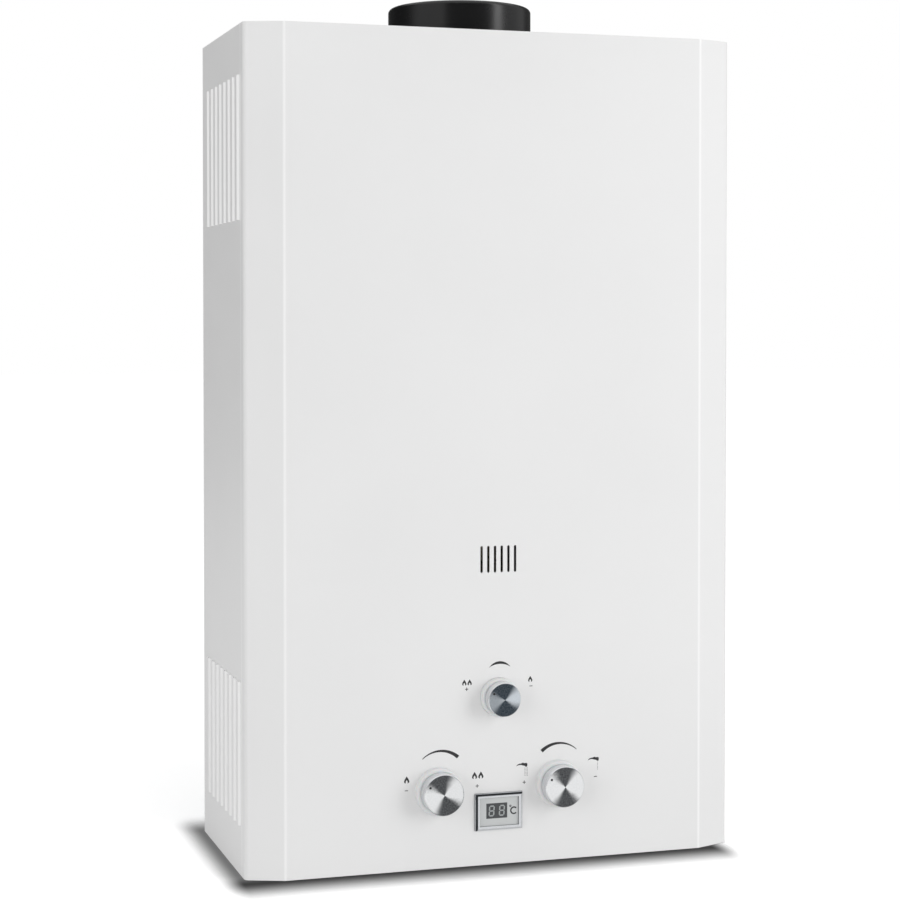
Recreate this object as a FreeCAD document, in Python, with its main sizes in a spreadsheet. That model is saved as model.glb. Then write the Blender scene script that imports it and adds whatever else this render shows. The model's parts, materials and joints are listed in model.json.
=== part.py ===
"""Wall-hung gas water heater, built as separate pieces in millimetres.

X runs to the right, the front faces -Y and Z is up.  The casing stands on z = 0.
"""
import FreeCAD, Part
import math
import os
from types import SimpleNamespace

import Sketcher

os.makedirs("parts", exist_ok=True)
doc = FreeCAD.newDocument("water_heater")

# Driving dimensions

DIMENSIONS = {
    # Casing of folded sheet
    "case_width": 362,
    "case_height": 590,
    "case_depth": 158,
    "bevel_width": 26.5,
    "bevel_depth": 10,
    "sheet": 0.8,
    "fold_round": 4,
    "crease_round": 3,
    "return_width": 12,
    "bottom_recess": 24,
    "flange_screw_inset": 38.5,
    # Clearances
    "panel_gap": 0.3,
    "turning_gap": 0.4,
    "running_gap": 0.05,
    # Pressed side louvres
    "louvre_start": 22,
    "louvre_pitch": 15.5,
    "louvre_length": 8.6,
    "louvre_ramp": 2,
    "louvre_rise": 1.7,
    "louvre_height": 100,
    "louvre_margin": 35,
    "louvre_count": 8,
    # Flame viewing slots
    "slot_pitch": 5,
    "slot_width": 1.9,
    "slot_height": 19,
    "slot_lift": 62,
    "slot_count": 6,
    # Wall fixings
    "keyhole_spacing": 240,
    "keyhole_drop": 55,
    "keyhole_radius": 5,
    "keyhole_neck": 2.6,
    "keyhole_rise": 9,
    "wall_screw_spacing": 300,
    "wall_screw_level": 60,
    "wall_screw_radius": 3,
    # Flue
    "flue_radius": 53,
    "flue_margin": 3,
    "flue_rise": 27,
    "flue_wall": 1.2,
    "flue_lip": 5,
    "flue_round": 3.2,
    "flue_flange": 10,
    "spigot_gap": 2.6,
    "spigot_overlap": 8,
    # Heat exchanger and burner
    "heat_margin": 69,
    "heat_depth": 108,
    "end_room": 12,
    "burner_base": 155,
    "burner_box_height": 77,
    "shell_height": 223,
    "hood_drop": 30,
    "tube_radius": 7.5,
    "tube_bore": 6.7,
    "tube_pitch": 18,
    "tube_passes": 5,
    "tube_drop": 30,
    "tube_overhang": 6,
    "fin_pitch": 6,
    "fin_thickness": 0.5,
    "fin_height": 40,
    "bar_pitch": 20,
    "bar_width": 13,
    "bar_height": 45,
    "bar_throat": 8,
    "port_pitch": 8,
    "port_width": 1.2,
    "port_count": 11,
    "rail_height": 5,
    "injector_level": 17,
    "injector_radius": 3,
    "manifold_depth": 13,
    "manifold_height": 18,
    "manifold_inset": 10,
    "manifold_wall": 1.5,
    "injector_reach": 6,
    "bracket_height": 20,
    "bracket_foot": 16,
    # Viewing window on the burner box
    "window_width": 40,
    "window_height": 26,
    "window_lap": 4,
    "window_thickness": 0.5,
    # Knobs and spindles
    "knob_spacing": 89.6,
    "knob_level": 55,
    "knob_radius": 14.5,
    "knob_reach": 16,
    "season_level": 119.2,
    "season_radius": 12,
    "season_reach": 15,
    "knob_wall": 1.6,
    "knob_edge": 0.9,
    "knob_hub": 5,
    "spindle_radius": 3,
    "spindle_flat": 2.2,
    "spindle_insert": 10,
    "bezel_wall": 1.9,
    "bezel_rise": 6,
    "season_bezel_wall": 1.2,
    "bezel_spigot": 1,
    "bezel_tail": 3,
    "pointer_radius": 0.9,
    "pointer_depth": 0.5,
    "pointer_angle": 150,
    # Valves
    "valve_reach": 32,
    "valve_floor": 35,
    "gas_body_aside": 30,
    "gas_body_depth": 50,
    "gas_body_height": 50,
    "plug_radius": 8,
    "plug_length": 17,
    "gland_radius": 10,
    "gland_thickness": 1.5,
    "link_level": 60,
    "link_radius": 2.5,
    "link_travel": 2.5,
    "chamber_radius": 8,
    "chamber_end": 12,
    "chamber_seat": 7.2,
    "poppet_radius": 6.5,
    "poppet_thickness": 3,
    "water_body_width": 40,
    "water_body_height": 47,
    "cold_rise_inset": 10.5,
    "flange_radius": 28,
    "flange_thickness": 7,
    "diaphragm_thickness": 1.2,
    "cover_thickness": 12,
    "chamber_wall": 4,
    "membrane_radius": 20,
    "plate_thickness": 1.5,
    "needle_radius": 3.5,
    "needle_length": 14,
    "needle_travel": 3,
    "season_body_width": 80,
    "season_body_depth": 32,
    "season_body_height": 38,
    "season_body_drop": 19.2,
    "season_body_aside": 14.4,
    "season_body_ahead": 10.7,
    "riser_aside": 32,
    "riser_radius": 6,
    "riser_bore": 5,
    "solenoid_radius": 14,
    "solenoid_length": 36,
    "plunger_radius": 4,
    "plunger_travel": 3,
    "plunger_play": 3.4,
    "switch_length": 11.8,
    "switch_width": 8,
    "switch_height": 12,
    "switch_lift": 6,
    "button_radius": 1.2,
    "button_show": 2.7,
    "blade_thickness": 1.2,
    # Connections under the casing
    "thread_radius": 10.48,
    "fitting_foot": 3,
    "fitting_collar": 15,
    "fitting_collar_height": 5,
    "fitting_bore": 7,
    "nut_radius": 15.9,
    "nut_height": 5,
    "pipe_aside": 22,
    "pipe_level": 112,
    "pipe_bend": 14,
    "drain_radius": 5,
    "drain_head": 8,
    "drain_head_height": 12,
    "drain_grip": 2.8,
    "drain_grip_height": 8.4,
    "drain_aside": 11,
    "drain_ahead": 23,
    # Display
    "display_width": 35.3,
    "display_height": 26.4,
    "display_room": 1.4,
    "display_edge": 1.5,
    "display_border": 3,
    "display_rise": 2.5,
    "display_tail": 4,
    "display_glass": 1.5,
    "board_thickness": 1.6,
    # Batteries and electrics
    "cell_radius": 17,
    "cell_length": 61.5,
    "cell_gap": 0.6,
    "box_wall": 1.6,
    "lid_room": 1.2,
    "box_flange": 4,
    "contact_height": 4,
    "lid_thickness": 2,
    "hinge_radius": 1.2,
    "knuckle_radius": 2.7,
    "knuckle_width": 5,
    "module_width": 52,
    "module_depth": 28,
    "module_height": 70,
    "module_base": 78,
    "module_margin": 6.2,
    "probe_radius": 3,
    "probe_wire": 1,
    "probe_spacing": 18,
    "probe_offset": 34,
    "probe_level": 61,
    "lead_radius": 1.8,
    "lead_bend": 4.7,
    "lead_spacing": 7.2,
    "cutout_radius": 8,
    "cutout_thickness": 6,
    "cutout_drop": 115,
    # Screws
    "screw_radius": 1.9,
    "screw_head": 3.6,
    "screw_head_height": 1.9,
    "screw_length": 8,
    "sunk_head_height": 0.7,
}

sheet = doc.addObject("Spreadsheet::Sheet", "Sizes")
for row, (alias, number) in enumerate(DIMENSIONS.items(), start=1):
    sheet.set(f"A{row}", alias)
    sheet.set(f"B{row}", str(number))
    sheet.setAlias(f"B{row}", alias)
doc.recompute()


# Sizes that carry their formula

class Size:
    """A length worked out from the sheet: the formula and its present value."""

    def __init__(self, formula, value):
        self.formula = formula
        self.value = float(value)

    def combine(self, sign, other, value, swapped=False):
        left, right = self.formula, formula_of(other)
        if swapped:
            left, right = right, left
        return Size(f"({left} {sign} {right})", value)

    def __add__(self, other):
        return self.combine("+", other, self.value + value_of(other))

    def __radd__(self, other):
        return self.combine("+", other, value_of(other) + self.value, swapped=True)

    def __sub__(self, other):
        return self.combine("-", other, self.value - value_of(other))

    def __rsub__(self, other):
        return self.combine("-", other, value_of(other) - self.value, swapped=True)

    def __mul__(self, other):
        return self.combine("*", other, self.value * value_of(other))

    def __rmul__(self, other):
        return self.combine("*", other, value_of(other) * self.value, swapped=True)

    def __truediv__(self, other):
        return self.combine("/", other, self.value / value_of(other))

    def __rtruediv__(self, other):
        return self.combine("/", other, value_of(other) / self.value, swapped=True)

    def __neg__(self):
        return Size(f"(0 - {self.formula})", -self.value)


def formula_of(item):
    return item.formula if isinstance(item, Size) else f"({item!r})"


def value_of(item):
    return item.value if isinstance(item, Size) else float(item)


def root(item):
    return Size(f"sqrt({item.formula})", math.sqrt(item.value))


def count_of(item):
    return int(round(item.value))


def how_many(length, pitch):
    """The number of pieces at a pitch that a length has room for."""
    return math.floor(value_of(length) / value_of(pitch) + 0.01)


d = SimpleNamespace(**{
    alias: Size(f"Sizes.{alias}", sheet.get(alias)) for alias in DIMENSIONS
})
zero = Size("(0)", 0)


# Building blocks

parts = []
PLANES = {"x": "YZ_Plane", "y": "XZ_Plane", "z": "XY_Plane"}
TURNS = {
    "up": ((1, 0, 0), 0),
    "down": ((1, 0, 0), 180),
    "front": ((1, 0, 0), 90),
    "back": ((1, 0, 0), -90),
    "right": ((0, 1, 0), 90),
    "left": ((0, 1, 0), -90),
}


def bind(item, name, size):
    """Set a property from a size, or from a plain number."""
    if isinstance(size, Size):
        item.setExpression(name, size.formula)
    else:
        item.setExpression(name, formula_of(size))


def place(item, x, y, z, facing="up"):
    axis, angle = TURNS[facing]
    turn = FreeCAD.Rotation(FreeCAD.Vector(*axis), angle)
    item.Placement = FreeCAD.Placement(FreeCAD.Vector(), turn)
    bind(item, "Placement.Base.x", x)
    bind(item, "Placement.Base.y", y)
    bind(item, "Placement.Base.z", z)


def keep(item, label):
    """Count an object as a finished piece of the heater."""
    item.Label = label
    parts.append(item)
    return item


def rectangle(u0, v0, u1, v1):
    return ("outline", [(u0, v0), (u1, v0), (u1, v1), (u0, v1)])


def circle(u, v, radius):
    return ("circle", u, v, radius)


def outline(points):
    return ("outline", points)


def draw_outline(sketch, points):
    first = sketch.GeometryCount
    total = len(points)
    spots = [FreeCAD.Vector(value_of(u), value_of(v), 0) for u, v in points]
    for index in range(total):
        sketch.addGeometry(Part.LineSegment(spots[index], spots[(index + 1) % total]), False)
    for index in range(total):
        following = first + (index + 1) % total
        sketch.addConstraint(Sketcher.Constraint("Coincident", first + index, 2, following, 1))
    for index, (u, v) in enumerate(points):
        pin_point(sketch, first + index, 1, u, v)


def draw_circle(sketch, u, v, radius):
    centre = FreeCAD.Vector(value_of(u), value_of(v), 0)
    ring = sketch.addGeometry(
        Part.Circle(centre, FreeCAD.Vector(0, 0, 1), value_of(radius)), False)
    pin_point(sketch, ring, 3, u, v)
    number = sketch.addConstraint(Sketcher.Constraint("Radius", ring, value_of(radius)))
    bind(sketch, f"Constraints[{number}]", radius)


def pin_point(sketch, edge, end, u, v):
    """Hold one point of a sketch at (u, v) from the origin."""
    for kind, size in (("DistanceX", u), ("DistanceY", v)):
        number = sketch.addConstraint(
            Sketcher.Constraint(kind, -1, 1, edge, end, value_of(size)))
        bind(sketch, f"Constraints[{number}]", size)


def new_sketch(body, axis, level, shapes):
    """Draw shapes square to an axis; on the y axis the sketch looks to the front."""
    sketch = body.newObject("Sketcher::SketchObject", "outline")
    plane = next(item for item in body.Origin.OriginFeatures if item.Role == PLANES[axis])
    sketch.AttachmentSupport = [(plane, "")]
    sketch.MapMode = "FlatFace"
    bind(sketch, "AttachmentOffset.Base.z", -level if axis == "y" else level)
    for kind, *sizes in shapes:
        if kind == "circle":
            draw_circle(sketch, *sizes)
        else:
            draw_outline(sketch, *sizes)
    return sketch


def solid_volume(body):
    return body.Shape.Volume if body.Tip else 0.0


def add(body, axis, low, high, *shapes):
    """Add material between two levels of an axis."""
    extrude(body, "PartDesign::Pad", axis, low, high, shapes)


def cut(body, axis, low, high, *shapes):
    """Take material away between two levels of an axis."""
    before = solid_volume(body)
    extrude(body, "PartDesign::Pocket", axis, low, high, shapes)
    if body.Shape.Volume >= before:
        raise ValueError(f"{body.Label}: a cut removes nothing")


def extrude(body, kind, axis, low, high, shapes):
    feature = body.newObject(kind, kind.split("::")[1].lower())
    feature.Profile = new_sketch(body, axis, high if axis == "y" else low, shapes)
    bind(feature, "Length", high - low)
    feature.Reversed = kind.endswith("Pocket")
    body.Tip = feature
    doc.recompute()


def repeat(body, features, rows):
    """Repeat features along axes: each row holds an axis, its whole length and a count."""
    whole = body.newObject("PartDesign::MultiTransform", "repeat")
    whole.Originals = features
    steps = []
    for axis, length, count in rows:
        line = next(item for item in body.Origin.OriginFeatures if item.Role == axis)
        step = body.newObject("PartDesign::LinearPattern", "row")
        step.Direction = (line, [""])
        bind(step, "Length", length)
        bind(step, "Occurrences", count)
        steps.append(step)
    whole.Transformations = steps
    body.Tip = whole
    doc.recompute()


def new_body(label):
    body = doc.addObject("PartDesign::Body", label)
    doc.recompute()
    return keep(body, label)


def turned(label, profile, facing="up", at=(0, 0, 0)):
    """A piece turned about its own axis from (radius, height) points, then placed."""
    body = new_body(label)
    feature = body.newObject("PartDesign::Revolution", "revolution")
    sketch = new_sketch(body, "y", zero, [("outline", profile)])
    feature.Profile = sketch
    feature.ReferenceAxis = (sketch, ["V_Axis"])
    feature.Angle = 360
    body.Tip = feature
    place(body, *at, facing)
    doc.recompute()
    return body


def round_edges(body, radius, chosen, kind="PartDesign::Fillet"):
    """Round (or chamfer) the edges of a body that a test picks."""
    base = body.Tip
    names = [f"Edge{number}" for number, edge in enumerate(base.Shape.Edges, start=1)
             if chosen(edge)]
    if not names:
        raise ValueError(f"{body.Label}: no edge to round")
    feature = body.newObject(kind, "rounding")
    feature.Base = (base, names)
    bind(feature, "Radius" if kind.endswith("Fillet") else "Size", radius)
    body.Tip = feature
    doc.recompute()


def box(x0, y0, z0, x1, y1, z1):
    item = doc.addObject("Part::Box", "block")
    bind(item, "Length", x1 - x0)
    bind(item, "Width", y1 - y0)
    bind(item, "Height", z1 - z0)
    place(item, x0, y0, z0)
    return item


def cylinder(radius, length, at, facing="up"):
    item = doc.addObject("Part::Cylinder", "rod")
    bind(item, "Radius", radius)
    bind(item, "Height", length)
    place(item, *at, facing)
    return item


def minus(base, tool):
    item = doc.addObject("Part::Cut", "cut")
    item.Base = base
    item.Tool = tool
    return item


def plus(*items):
    item = doc.addObject("Part::MultiFuse", "joined")
    item.Shapes = list(items)
    return item


def group(label, items):
    """One node that holds several separate solids."""
    item = doc.addObject("Part::Compound", label)
    item.Links = list(items)
    doc.recompute()
    return keep(item, label)


def vector(x, y, z):
    return FreeCAD.Vector(value_of(x), value_of(y), value_of(z))


def bent_path(points, bend):
    """Straight runs through the points, joined by tangent arcs of one radius."""
    edges = []
    start = points[0]
    for corner, after in zip(points[1:-1], points[2:]):
        arriving = (corner - start).normalize()
        leaving = (after - corner).normalize()
        half_turn = arriving.getAngle(leaving) / 2
        setback = bend * math.tan(half_turn)
        arc_start = corner - arriving * setback
        arc_end = corner + leaving * setback
        inward = (leaving - arriving).normalize()
        arc_middle = corner + inward * (bend / math.cos(half_turn) - bend)
        edges.append(Part.makeLine(start, arc_start))
        edges.append(Part.Arc(arc_start, arc_middle, arc_end).toShape())
        start = arc_end
    edges.append(Part.makeLine(start, points[-1]))
    return Part.Wire(edges)


def swept_rod(path, radius):
    start = path.Edges[0]
    ring = Part.makeCircle(radius, start.valueAt(start.FirstParameter),
                           start.tangentAt(start.FirstParameter))
    return path.makePipeShell([Part.Wire([ring])], True, False)


def bent_tube(path, radius, bore):
    return swept_rod(path, radius).cut(swept_rod(path, bore))


def shaped(label, shape):
    """A piece whose shape is computed here from the sheet's values."""
    item = doc.addObject("Part::Feature", label)
    item.Shape = shape
    item.Placement = FreeCAD.Placement()
    return keep(item, label)


# Levels and faces that several pieces share

half_width = d.case_width / 2
flat_half = half_width - d.bevel_width
front = (d.knob_reach - d.case_depth) / 2
back = front + d.case_depth
front_inside = front + d.sheet
side_inside = half_width - d.sheet
back_inside = back - d.sheet
top = d.case_height
knob_x = d.knob_spacing / 2

bevel_slope = d.bevel_depth / d.bevel_width
crease_share = (root(1 + bevel_slope * bevel_slope) - 1) / bevel_slope
corner_share = (1 - crease_share) / (1 + crease_share)

flue_y = back - d.flue_radius - d.flue_flange - d.flue_margin
heat_front = flue_y - d.heat_depth / 2
heat_back = flue_y + d.heat_depth / 2
heat_half = half_width - d.heat_margin
heat_room = 2 * (heat_half - d.end_room)
burner_top = d.burner_base + d.burner_box_height
shell_top = burner_top + d.shell_height
hood_top = top - d.hood_drop
slot_centre = d.burner_base + d.slot_lift
tube_level = shell_top - d.tube_drop
pass_y = [flue_y + (index - (count_of(d.tube_passes) - 1) / 2) * d.tube_pitch
          for index in range(count_of(d.tube_passes))]

panel_floor = d.bottom_recess
panel_ceiling = d.bottom_recess + d.sheet
pipe_y = pass_y[0]
valve_front = pipe_y - d.valve_reach
gas_x = -knob_x
water_x = knob_x
cold_side_x = heat_half + d.pipe_aside
hot_x = -cold_side_x
gas_left = gas_x - d.gas_body_aside
gas_top = d.valve_floor + d.gas_body_height
season_base = d.season_level - d.season_body_drop
display_tail_x = d.display_width / 2 - d.display_border / 2
display_tail_z = d.display_height / 2 - d.display_border / 2
display_level = panel_ceiling + d.display_room + display_tail_z


def wall_line(inset):
    """The two bends of the casing's right half, set in from the outside."""
    return [
        (half_width - inset, front + d.bevel_depth + inset * corner_share),
        (flat_half - inset * crease_share, front + inset),
    ]


def mirrored(points):
    return [(-x, y) for x, y in reversed(points)]


def casing_strip(outer_inset, inner_inset, rear):
    """The casing's plan between two insets, open at the back."""
    outer = [(half_width - outer_inset, rear)] + wall_line(outer_inset)
    inner = [(half_width - inner_inset, rear)] + wall_line(inner_inset)
    return outline(outer + mirrored(outer) + mirrored(inner[::-1]) + inner[::-1])


def casing_plate(body, low, high):
    """A plate that fits inside the casing, its front corners rounded like the folds."""
    inset = d.sheet + d.panel_gap
    edge = [(half_width - inset, back_inside)] + wall_line(inset)
    add(body, "z", low, high, outline(edge + mirrored(edge)))
    corner_y = edge[1][1].value
    round_edges(body, d.fold_round, lambda item: (
        item.BoundBox.ZLength > d.sheet.value / 2
        and abs(item.CenterOfMass.y - corner_y) < 0.01))


# Casing

def front_cover():
    body = new_body("front_cover")
    add(body, "z", zero, top, casing_strip(zero, d.sheet, back))

    def upright_at(x, y):
        def chosen(edge):
            middle = edge.CenterOfMass
            tall = edge.BoundBox.ZLength > d.case_height.value / 2
            return (tall and abs(abs(middle.x) - value_of(x)) < 0.05
                    and abs(middle.y - value_of(y)) < 0.05)
        return chosen

    outer_corner, outer_crease = wall_line(zero)
    inner_corner, inner_crease = wall_line(d.sheet)
    round_edges(body, d.fold_round, upright_at(*outer_corner))
    round_edges(body, d.fold_round - d.sheet, upright_at(*inner_corner))
    round_edges(body, d.crease_round, upright_at(*outer_crease))
    round_edges(body, d.crease_round - d.sheet, upright_at(*inner_crease))

    flange_rear = back_inside - d.panel_gap
    for low in (zero, top - d.sheet):
        add(body, "z", low, low + d.sheet,
            casing_strip(d.sheet, d.sheet + d.return_width, flange_rear))

    half_slot = d.slot_width / 2
    low = slot_centre - d.slot_height / 2 + half_slot
    high = slot_centre + d.slot_height / 2 - half_slot
    middles = [(index - (count_of(d.slot_count) - 1) / 2) * d.slot_pitch
               for index in range(count_of(d.slot_count))]
    straights = [rectangle(x - half_slot, low, x + half_slot, high) for x in middles]
    cut(body, "y", front, front_inside, *straights)
    for level in (low, high):
        cut(body, "y", front, front_inside, *[circle(x, level, half_slot) for x in middles])

    cut(body, "y", front, front_inside,
        circle(zero, d.season_level, panel_hole(d.season_radius)),
        circle(gas_x, d.knob_level, panel_hole(d.knob_radius)),
        circle(water_x, d.knob_level, panel_hole(d.knob_radius)))
    hole_x = display_tail_x + d.panel_gap
    hole_z = display_tail_z + d.panel_gap
    cut(body, "y", front, front_inside,
        rectangle(-hole_x, display_level - hole_z, hole_x, display_level + hole_z))

    head_holes = [circle(x, flange_screw_y, d.screw_head + d.running_gap * 2)
                  for x in (-flange_screw_x, flange_screw_x)]
    cut(body, "z", zero, d.sheet, *head_holes)
    cut(body, "z", top - d.sheet, top, *head_holes)

    begin = front + d.louvre_start
    crest = begin + d.louvre_ramp
    end = begin + d.louvre_length
    base = d.louvre_margin
    skin = half_width - d.sheet / 2
    under = half_width - 2 * d.sheet
    peak = half_width + d.louvre_rise
    hump = [(skin, begin), (half_width, begin), (peak, crest), (peak, end), (skin, end)]
    hollow = [(under, begin + d.sheet), (half_width - d.sheet, begin + d.sheet),
              (peak - d.sheet, crest + d.sheet), (peak - d.sheet, end), (under, end)]
    add(body, "z", base, base + d.louvre_height, outline(hump), outline(mirrored(hump)))
    raised = body.Tip
    cut(body, "z", base + d.sheet, base + d.louvre_height - d.sheet,
        outline(hollow), outline(mirrored(hollow)))
    repeat(body, [raised, body.Tip], (
        ("Y_Axis", (d.louvre_count - 1) * d.louvre_pitch, d.louvre_count),
        ("Z_Axis", top - 2 * d.louvre_margin - d.louvre_height, 2)))


def panel_hole(knob_radius):
    """The hole that a knob's bezel is pushed into."""
    return knob_radius + d.turning_gap + d.bezel_spigot + d.panel_gap


flange_screw_x = flat_half - d.flange_screw_inset
flange_screw_y = front_inside + d.return_width / 2
screw_hole = d.screw_radius + d.running_gap * 2


def rear_panel():
    body = new_body("rear_panel")
    edge = side_inside - d.panel_gap
    add(body, "y", back_inside, back, rectangle(-edge, zero, edge, top))
    low = d.bottom_recess * 2
    high = top - d.bottom_recess
    for inner, outer in ((edge - d.sheet, edge), (-edge, d.sheet - edge)):
        add(body, "y", back_inside - d.return_width, back_inside,
            rectangle(inner, low, outer, high))
    level = top - d.keyhole_drop
    half = d.keyhole_spacing / 2
    cut(body, "y", back_inside, back,
        circle(-half, level, d.keyhole_radius), circle(half, level, d.keyhole_radius))
    neck_top = level + d.keyhole_rise
    cut(body, "y", back_inside, back,
        *[rectangle(x - d.keyhole_neck, level, x + d.keyhole_neck, neck_top)
          for x in (-half, half)])
    screw_half = d.wall_screw_spacing / 2
    cut(body, "y", back_inside, back,
        circle(-screw_half, d.wall_screw_level, d.wall_screw_radius),
        circle(screw_half, d.wall_screw_level, d.wall_screw_radius))
    cut(body, "y", back_inside, back,
        *[circle(x, z, screw_hole) for x in (-bracket_screw_x, bracket_screw_x)
          for z in bracket_levels])


bracket_web = heat_half - d.bracket_height
bracket_screw_x = bracket_web + d.bracket_foot / 2 + d.flue_wall
bracket_levels = (d.burner_base + d.bracket_height, shell_top - d.bracket_height)


def top_panel():
    body = new_body("top_panel")
    high = top - d.sheet
    low = high - d.sheet
    casing_plate(body, low, high)
    edge = side_inside - d.return_width
    add(body, "z", low - d.return_width, low,
        rectangle(-edge, back_inside - d.sheet, edge, back_inside))
    cut(body, "z", low, high, circle(zero, flue_y, d.flue_radius - d.flue_wall))
    cut(body, "z", low, high,
        *[circle(x, flange_screw_y, screw_hole) for x in (-flange_screw_x, flange_screw_x)])
    cut(body, "z", low, high,
        *[circle(x, flue_y + y, screw_hole) for x, y in collar_screw_spots])


collar_screw_reach = (d.flue_radius + d.flue_flange / 2) / root(Size("(2)", 2))
collar_screw_spots = [(x, y) for x in (-collar_screw_reach, collar_screw_reach)
                      for y in (-collar_screw_reach, collar_screw_reach)]


def bottom_panel():
    body = new_body("bottom_panel")
    low, high = panel_floor, panel_ceiling
    casing_plate(body, low, high)
    edge = side_inside - d.return_width
    add(body, "z", high, high + d.return_width,
        rectangle(-edge, back_inside - d.sheet, edge, back_inside))
    leg = flat_half - d.bevel_width
    leg_front = front_inside + d.panel_gap
    add(body, "z", d.sheet, low,
        rectangle(-leg, leg_front, leg, leg_front + d.sheet))
    add(body, "z", d.sheet, d.sheet * 2,
        rectangle(-leg, leg_front, leg, front_inside + d.return_width))
    for x in (gas_x, water_x, hot_x):
        cut(body, "z", low, high, circle(x, pipe_y, d.thread_radius + d.panel_gap))
    cut(body, "z", low, high,
        circle(drain_x, drain_y, d.drain_radius + d.panel_gap * 3))
    cut(body, "z", low, high, rectangle(
        box_left - d.panel_gap, box_front - d.panel_gap,
        box_right + d.panel_gap, box_rear + d.panel_gap))
    cut(body, "z", d.sheet, d.sheet * 2,
        *[circle(x, flange_screw_y, screw_hole) for x in (-flange_screw_x, flange_screw_x)])


drain_x = water_x + d.drain_aside
drain_y = pipe_y - d.drain_ahead

box_right = side_inside - d.return_width - d.box_flange - d.lid_room
box_left = box_right - 4 * d.cell_radius - 3 * d.cell_gap - 2 * d.box_wall
box_front = pipe_y - d.cell_radius - d.cell_gap - d.box_wall
box_rear = pipe_y + d.cell_radius + d.cell_gap + d.box_wall
box_floor = panel_floor - d.box_wall
cell_floor = box_floor + d.panel_gap
box_roof = cell_floor + d.cell_length + d.contact_height + d.box_wall + d.panel_gap


# Flue, heat exchanger and burner

def flue_collar():
    rim = d.flue_rise + d.sheet
    inner = d.flue_radius - d.flue_wall
    body = turned("flue_collar", [
        (inner, zero),
        (d.flue_radius + d.flue_flange, zero),
        (d.flue_radius + d.flue_flange, d.flue_wall),
        (d.flue_radius, d.flue_wall),
        (d.flue_radius, rim),
        (d.flue_radius - d.flue_lip, rim),
        (d.flue_radius - d.flue_lip, rim - d.flue_wall),
        (inner, rim - d.flue_wall),
    ], at=(zero, flue_y, top - d.sheet))

    def ring_at(radius, height):
        def chosen(edge):
            ring = edge.BoundBox
            return (abs(ring.XLength / 2 - value_of(radius)) < 0.01
                    and abs(ring.ZMin - value_of(height)) < 0.01 and ring.ZLength < 0.01)
        return chosen

    round_edges(body, d.flue_round, ring_at(d.flue_radius, rim))
    round_edges(body, d.flue_round - d.flue_wall, ring_at(inner, rim - d.flue_wall))
    for x, y in collar_screw_spots:
        cut(body, "z", zero, d.flue_wall, circle(x, y, screw_hole))


def sleeve(body, base, roof, wall):
    """A four-sided sheet sleeve of the heat unit's plan."""
    add(body, "z", base, roof, rectangle(-heat_half, heat_front, heat_half, heat_back))
    cut(body, "z", base, roof, rectangle(
        wall - heat_half, heat_front + wall, heat_half - wall, heat_back - wall))


def flue_hood():
    body = new_body("flue_hood")
    add(body, "z", shell_top, hood_top, rectangle(-heat_half, heat_front, heat_half, heat_back))
    spigot = d.flue_radius - d.flue_wall - d.spigot_gap
    add(body, "z", hood_top, top + d.spigot_overlap, circle(zero, flue_y, spigot))
    cut(body, "z", shell_top, hood_top - d.sheet, rectangle(
        d.sheet - heat_half, heat_front + d.sheet,
        heat_half - d.sheet, heat_back - d.sheet))
    cut(body, "z", hood_top - d.sheet, top + d.spigot_overlap,
        circle(zero, flue_y, spigot - d.sheet))


def exchanger_shell():
    body = new_body("exchanger_shell")
    sleeve(body, burner_top, shell_top, d.sheet)
    cut(body, "x", -heat_half, heat_half,
        *[circle(y, tube_level, d.tube_radius + d.turning_gap / 2) for y in pass_y])


def exchanger_tube():
    reach = value_of(heat_half + d.tube_overhang)
    level = value_of(tube_level)
    rows = [value_of(y) for y in pass_y]
    edges = []
    side = 1
    for index, y in enumerate(rows):
        begin = FreeCAD.Vector(side * reach, y, level)
        end = FreeCAD.Vector(-side * reach, y, level)
        edges.append(Part.makeLine(begin, end))
        if index + 1 < len(rows):
            following = rows[index + 1]
            bulge = end + FreeCAD.Vector(-side * (following - y) / 2, (following - y) / 2, 0)
            turn_end = FreeCAD.Vector(end.x, following, level)
            edges.append(Part.Arc(end, bulge, turn_end).toShape())
        side = -side
    shaped("exchanger_tube", bent_tube(Part.Wire(edges), d.tube_radius.value, d.tube_bore.value))


def fin_pack():
    depth = value_of(d.heat_depth - 2 * d.sheet - 2 * d.panel_gap)
    height = d.fin_height.value
    thick = d.fin_thickness.value
    hole = value_of(d.tube_radius + d.running_gap)
    rows = [value_of(y) for y in pass_y]
    fins = []
    total = how_many(heat_room, d.fin_pitch)
    for index in range(total):
        x = (index - (total - 1) / 2) * d.fin_pitch.value - thick / 2
        corner = FreeCAD.Vector(x, flue_y.value - depth / 2, tube_level.value - height / 2)
        fin = Part.makeBox(thick, depth, height, corner)
        holes = [Part.makeCylinder(hole, thick, FreeCAD.Vector(x, y, tube_level.value),
                                   FreeCAD.Vector(1, 0, 0)) for y in rows]
        fins.append(fin.cut(Part.makeCompound(holes)))
    shaped("fin_pack", Part.makeCompound(fins))


bar_count = how_many(heat_room, d.bar_pitch)
bar_x = [(index - (bar_count - 1) / 2) * d.bar_pitch for index in range(bar_count)]
injector_z = d.burner_base + d.injector_level
bar_front = heat_front + d.sheet + d.injector_reach
bar_rear = heat_back - d.sheet - d.injector_reach
bar_base = d.burner_base + d.rail_height
probe_z = d.burner_base + d.probe_level
probe_x = (d.probe_offset, d.probe_offset + d.probe_spacing)


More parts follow.
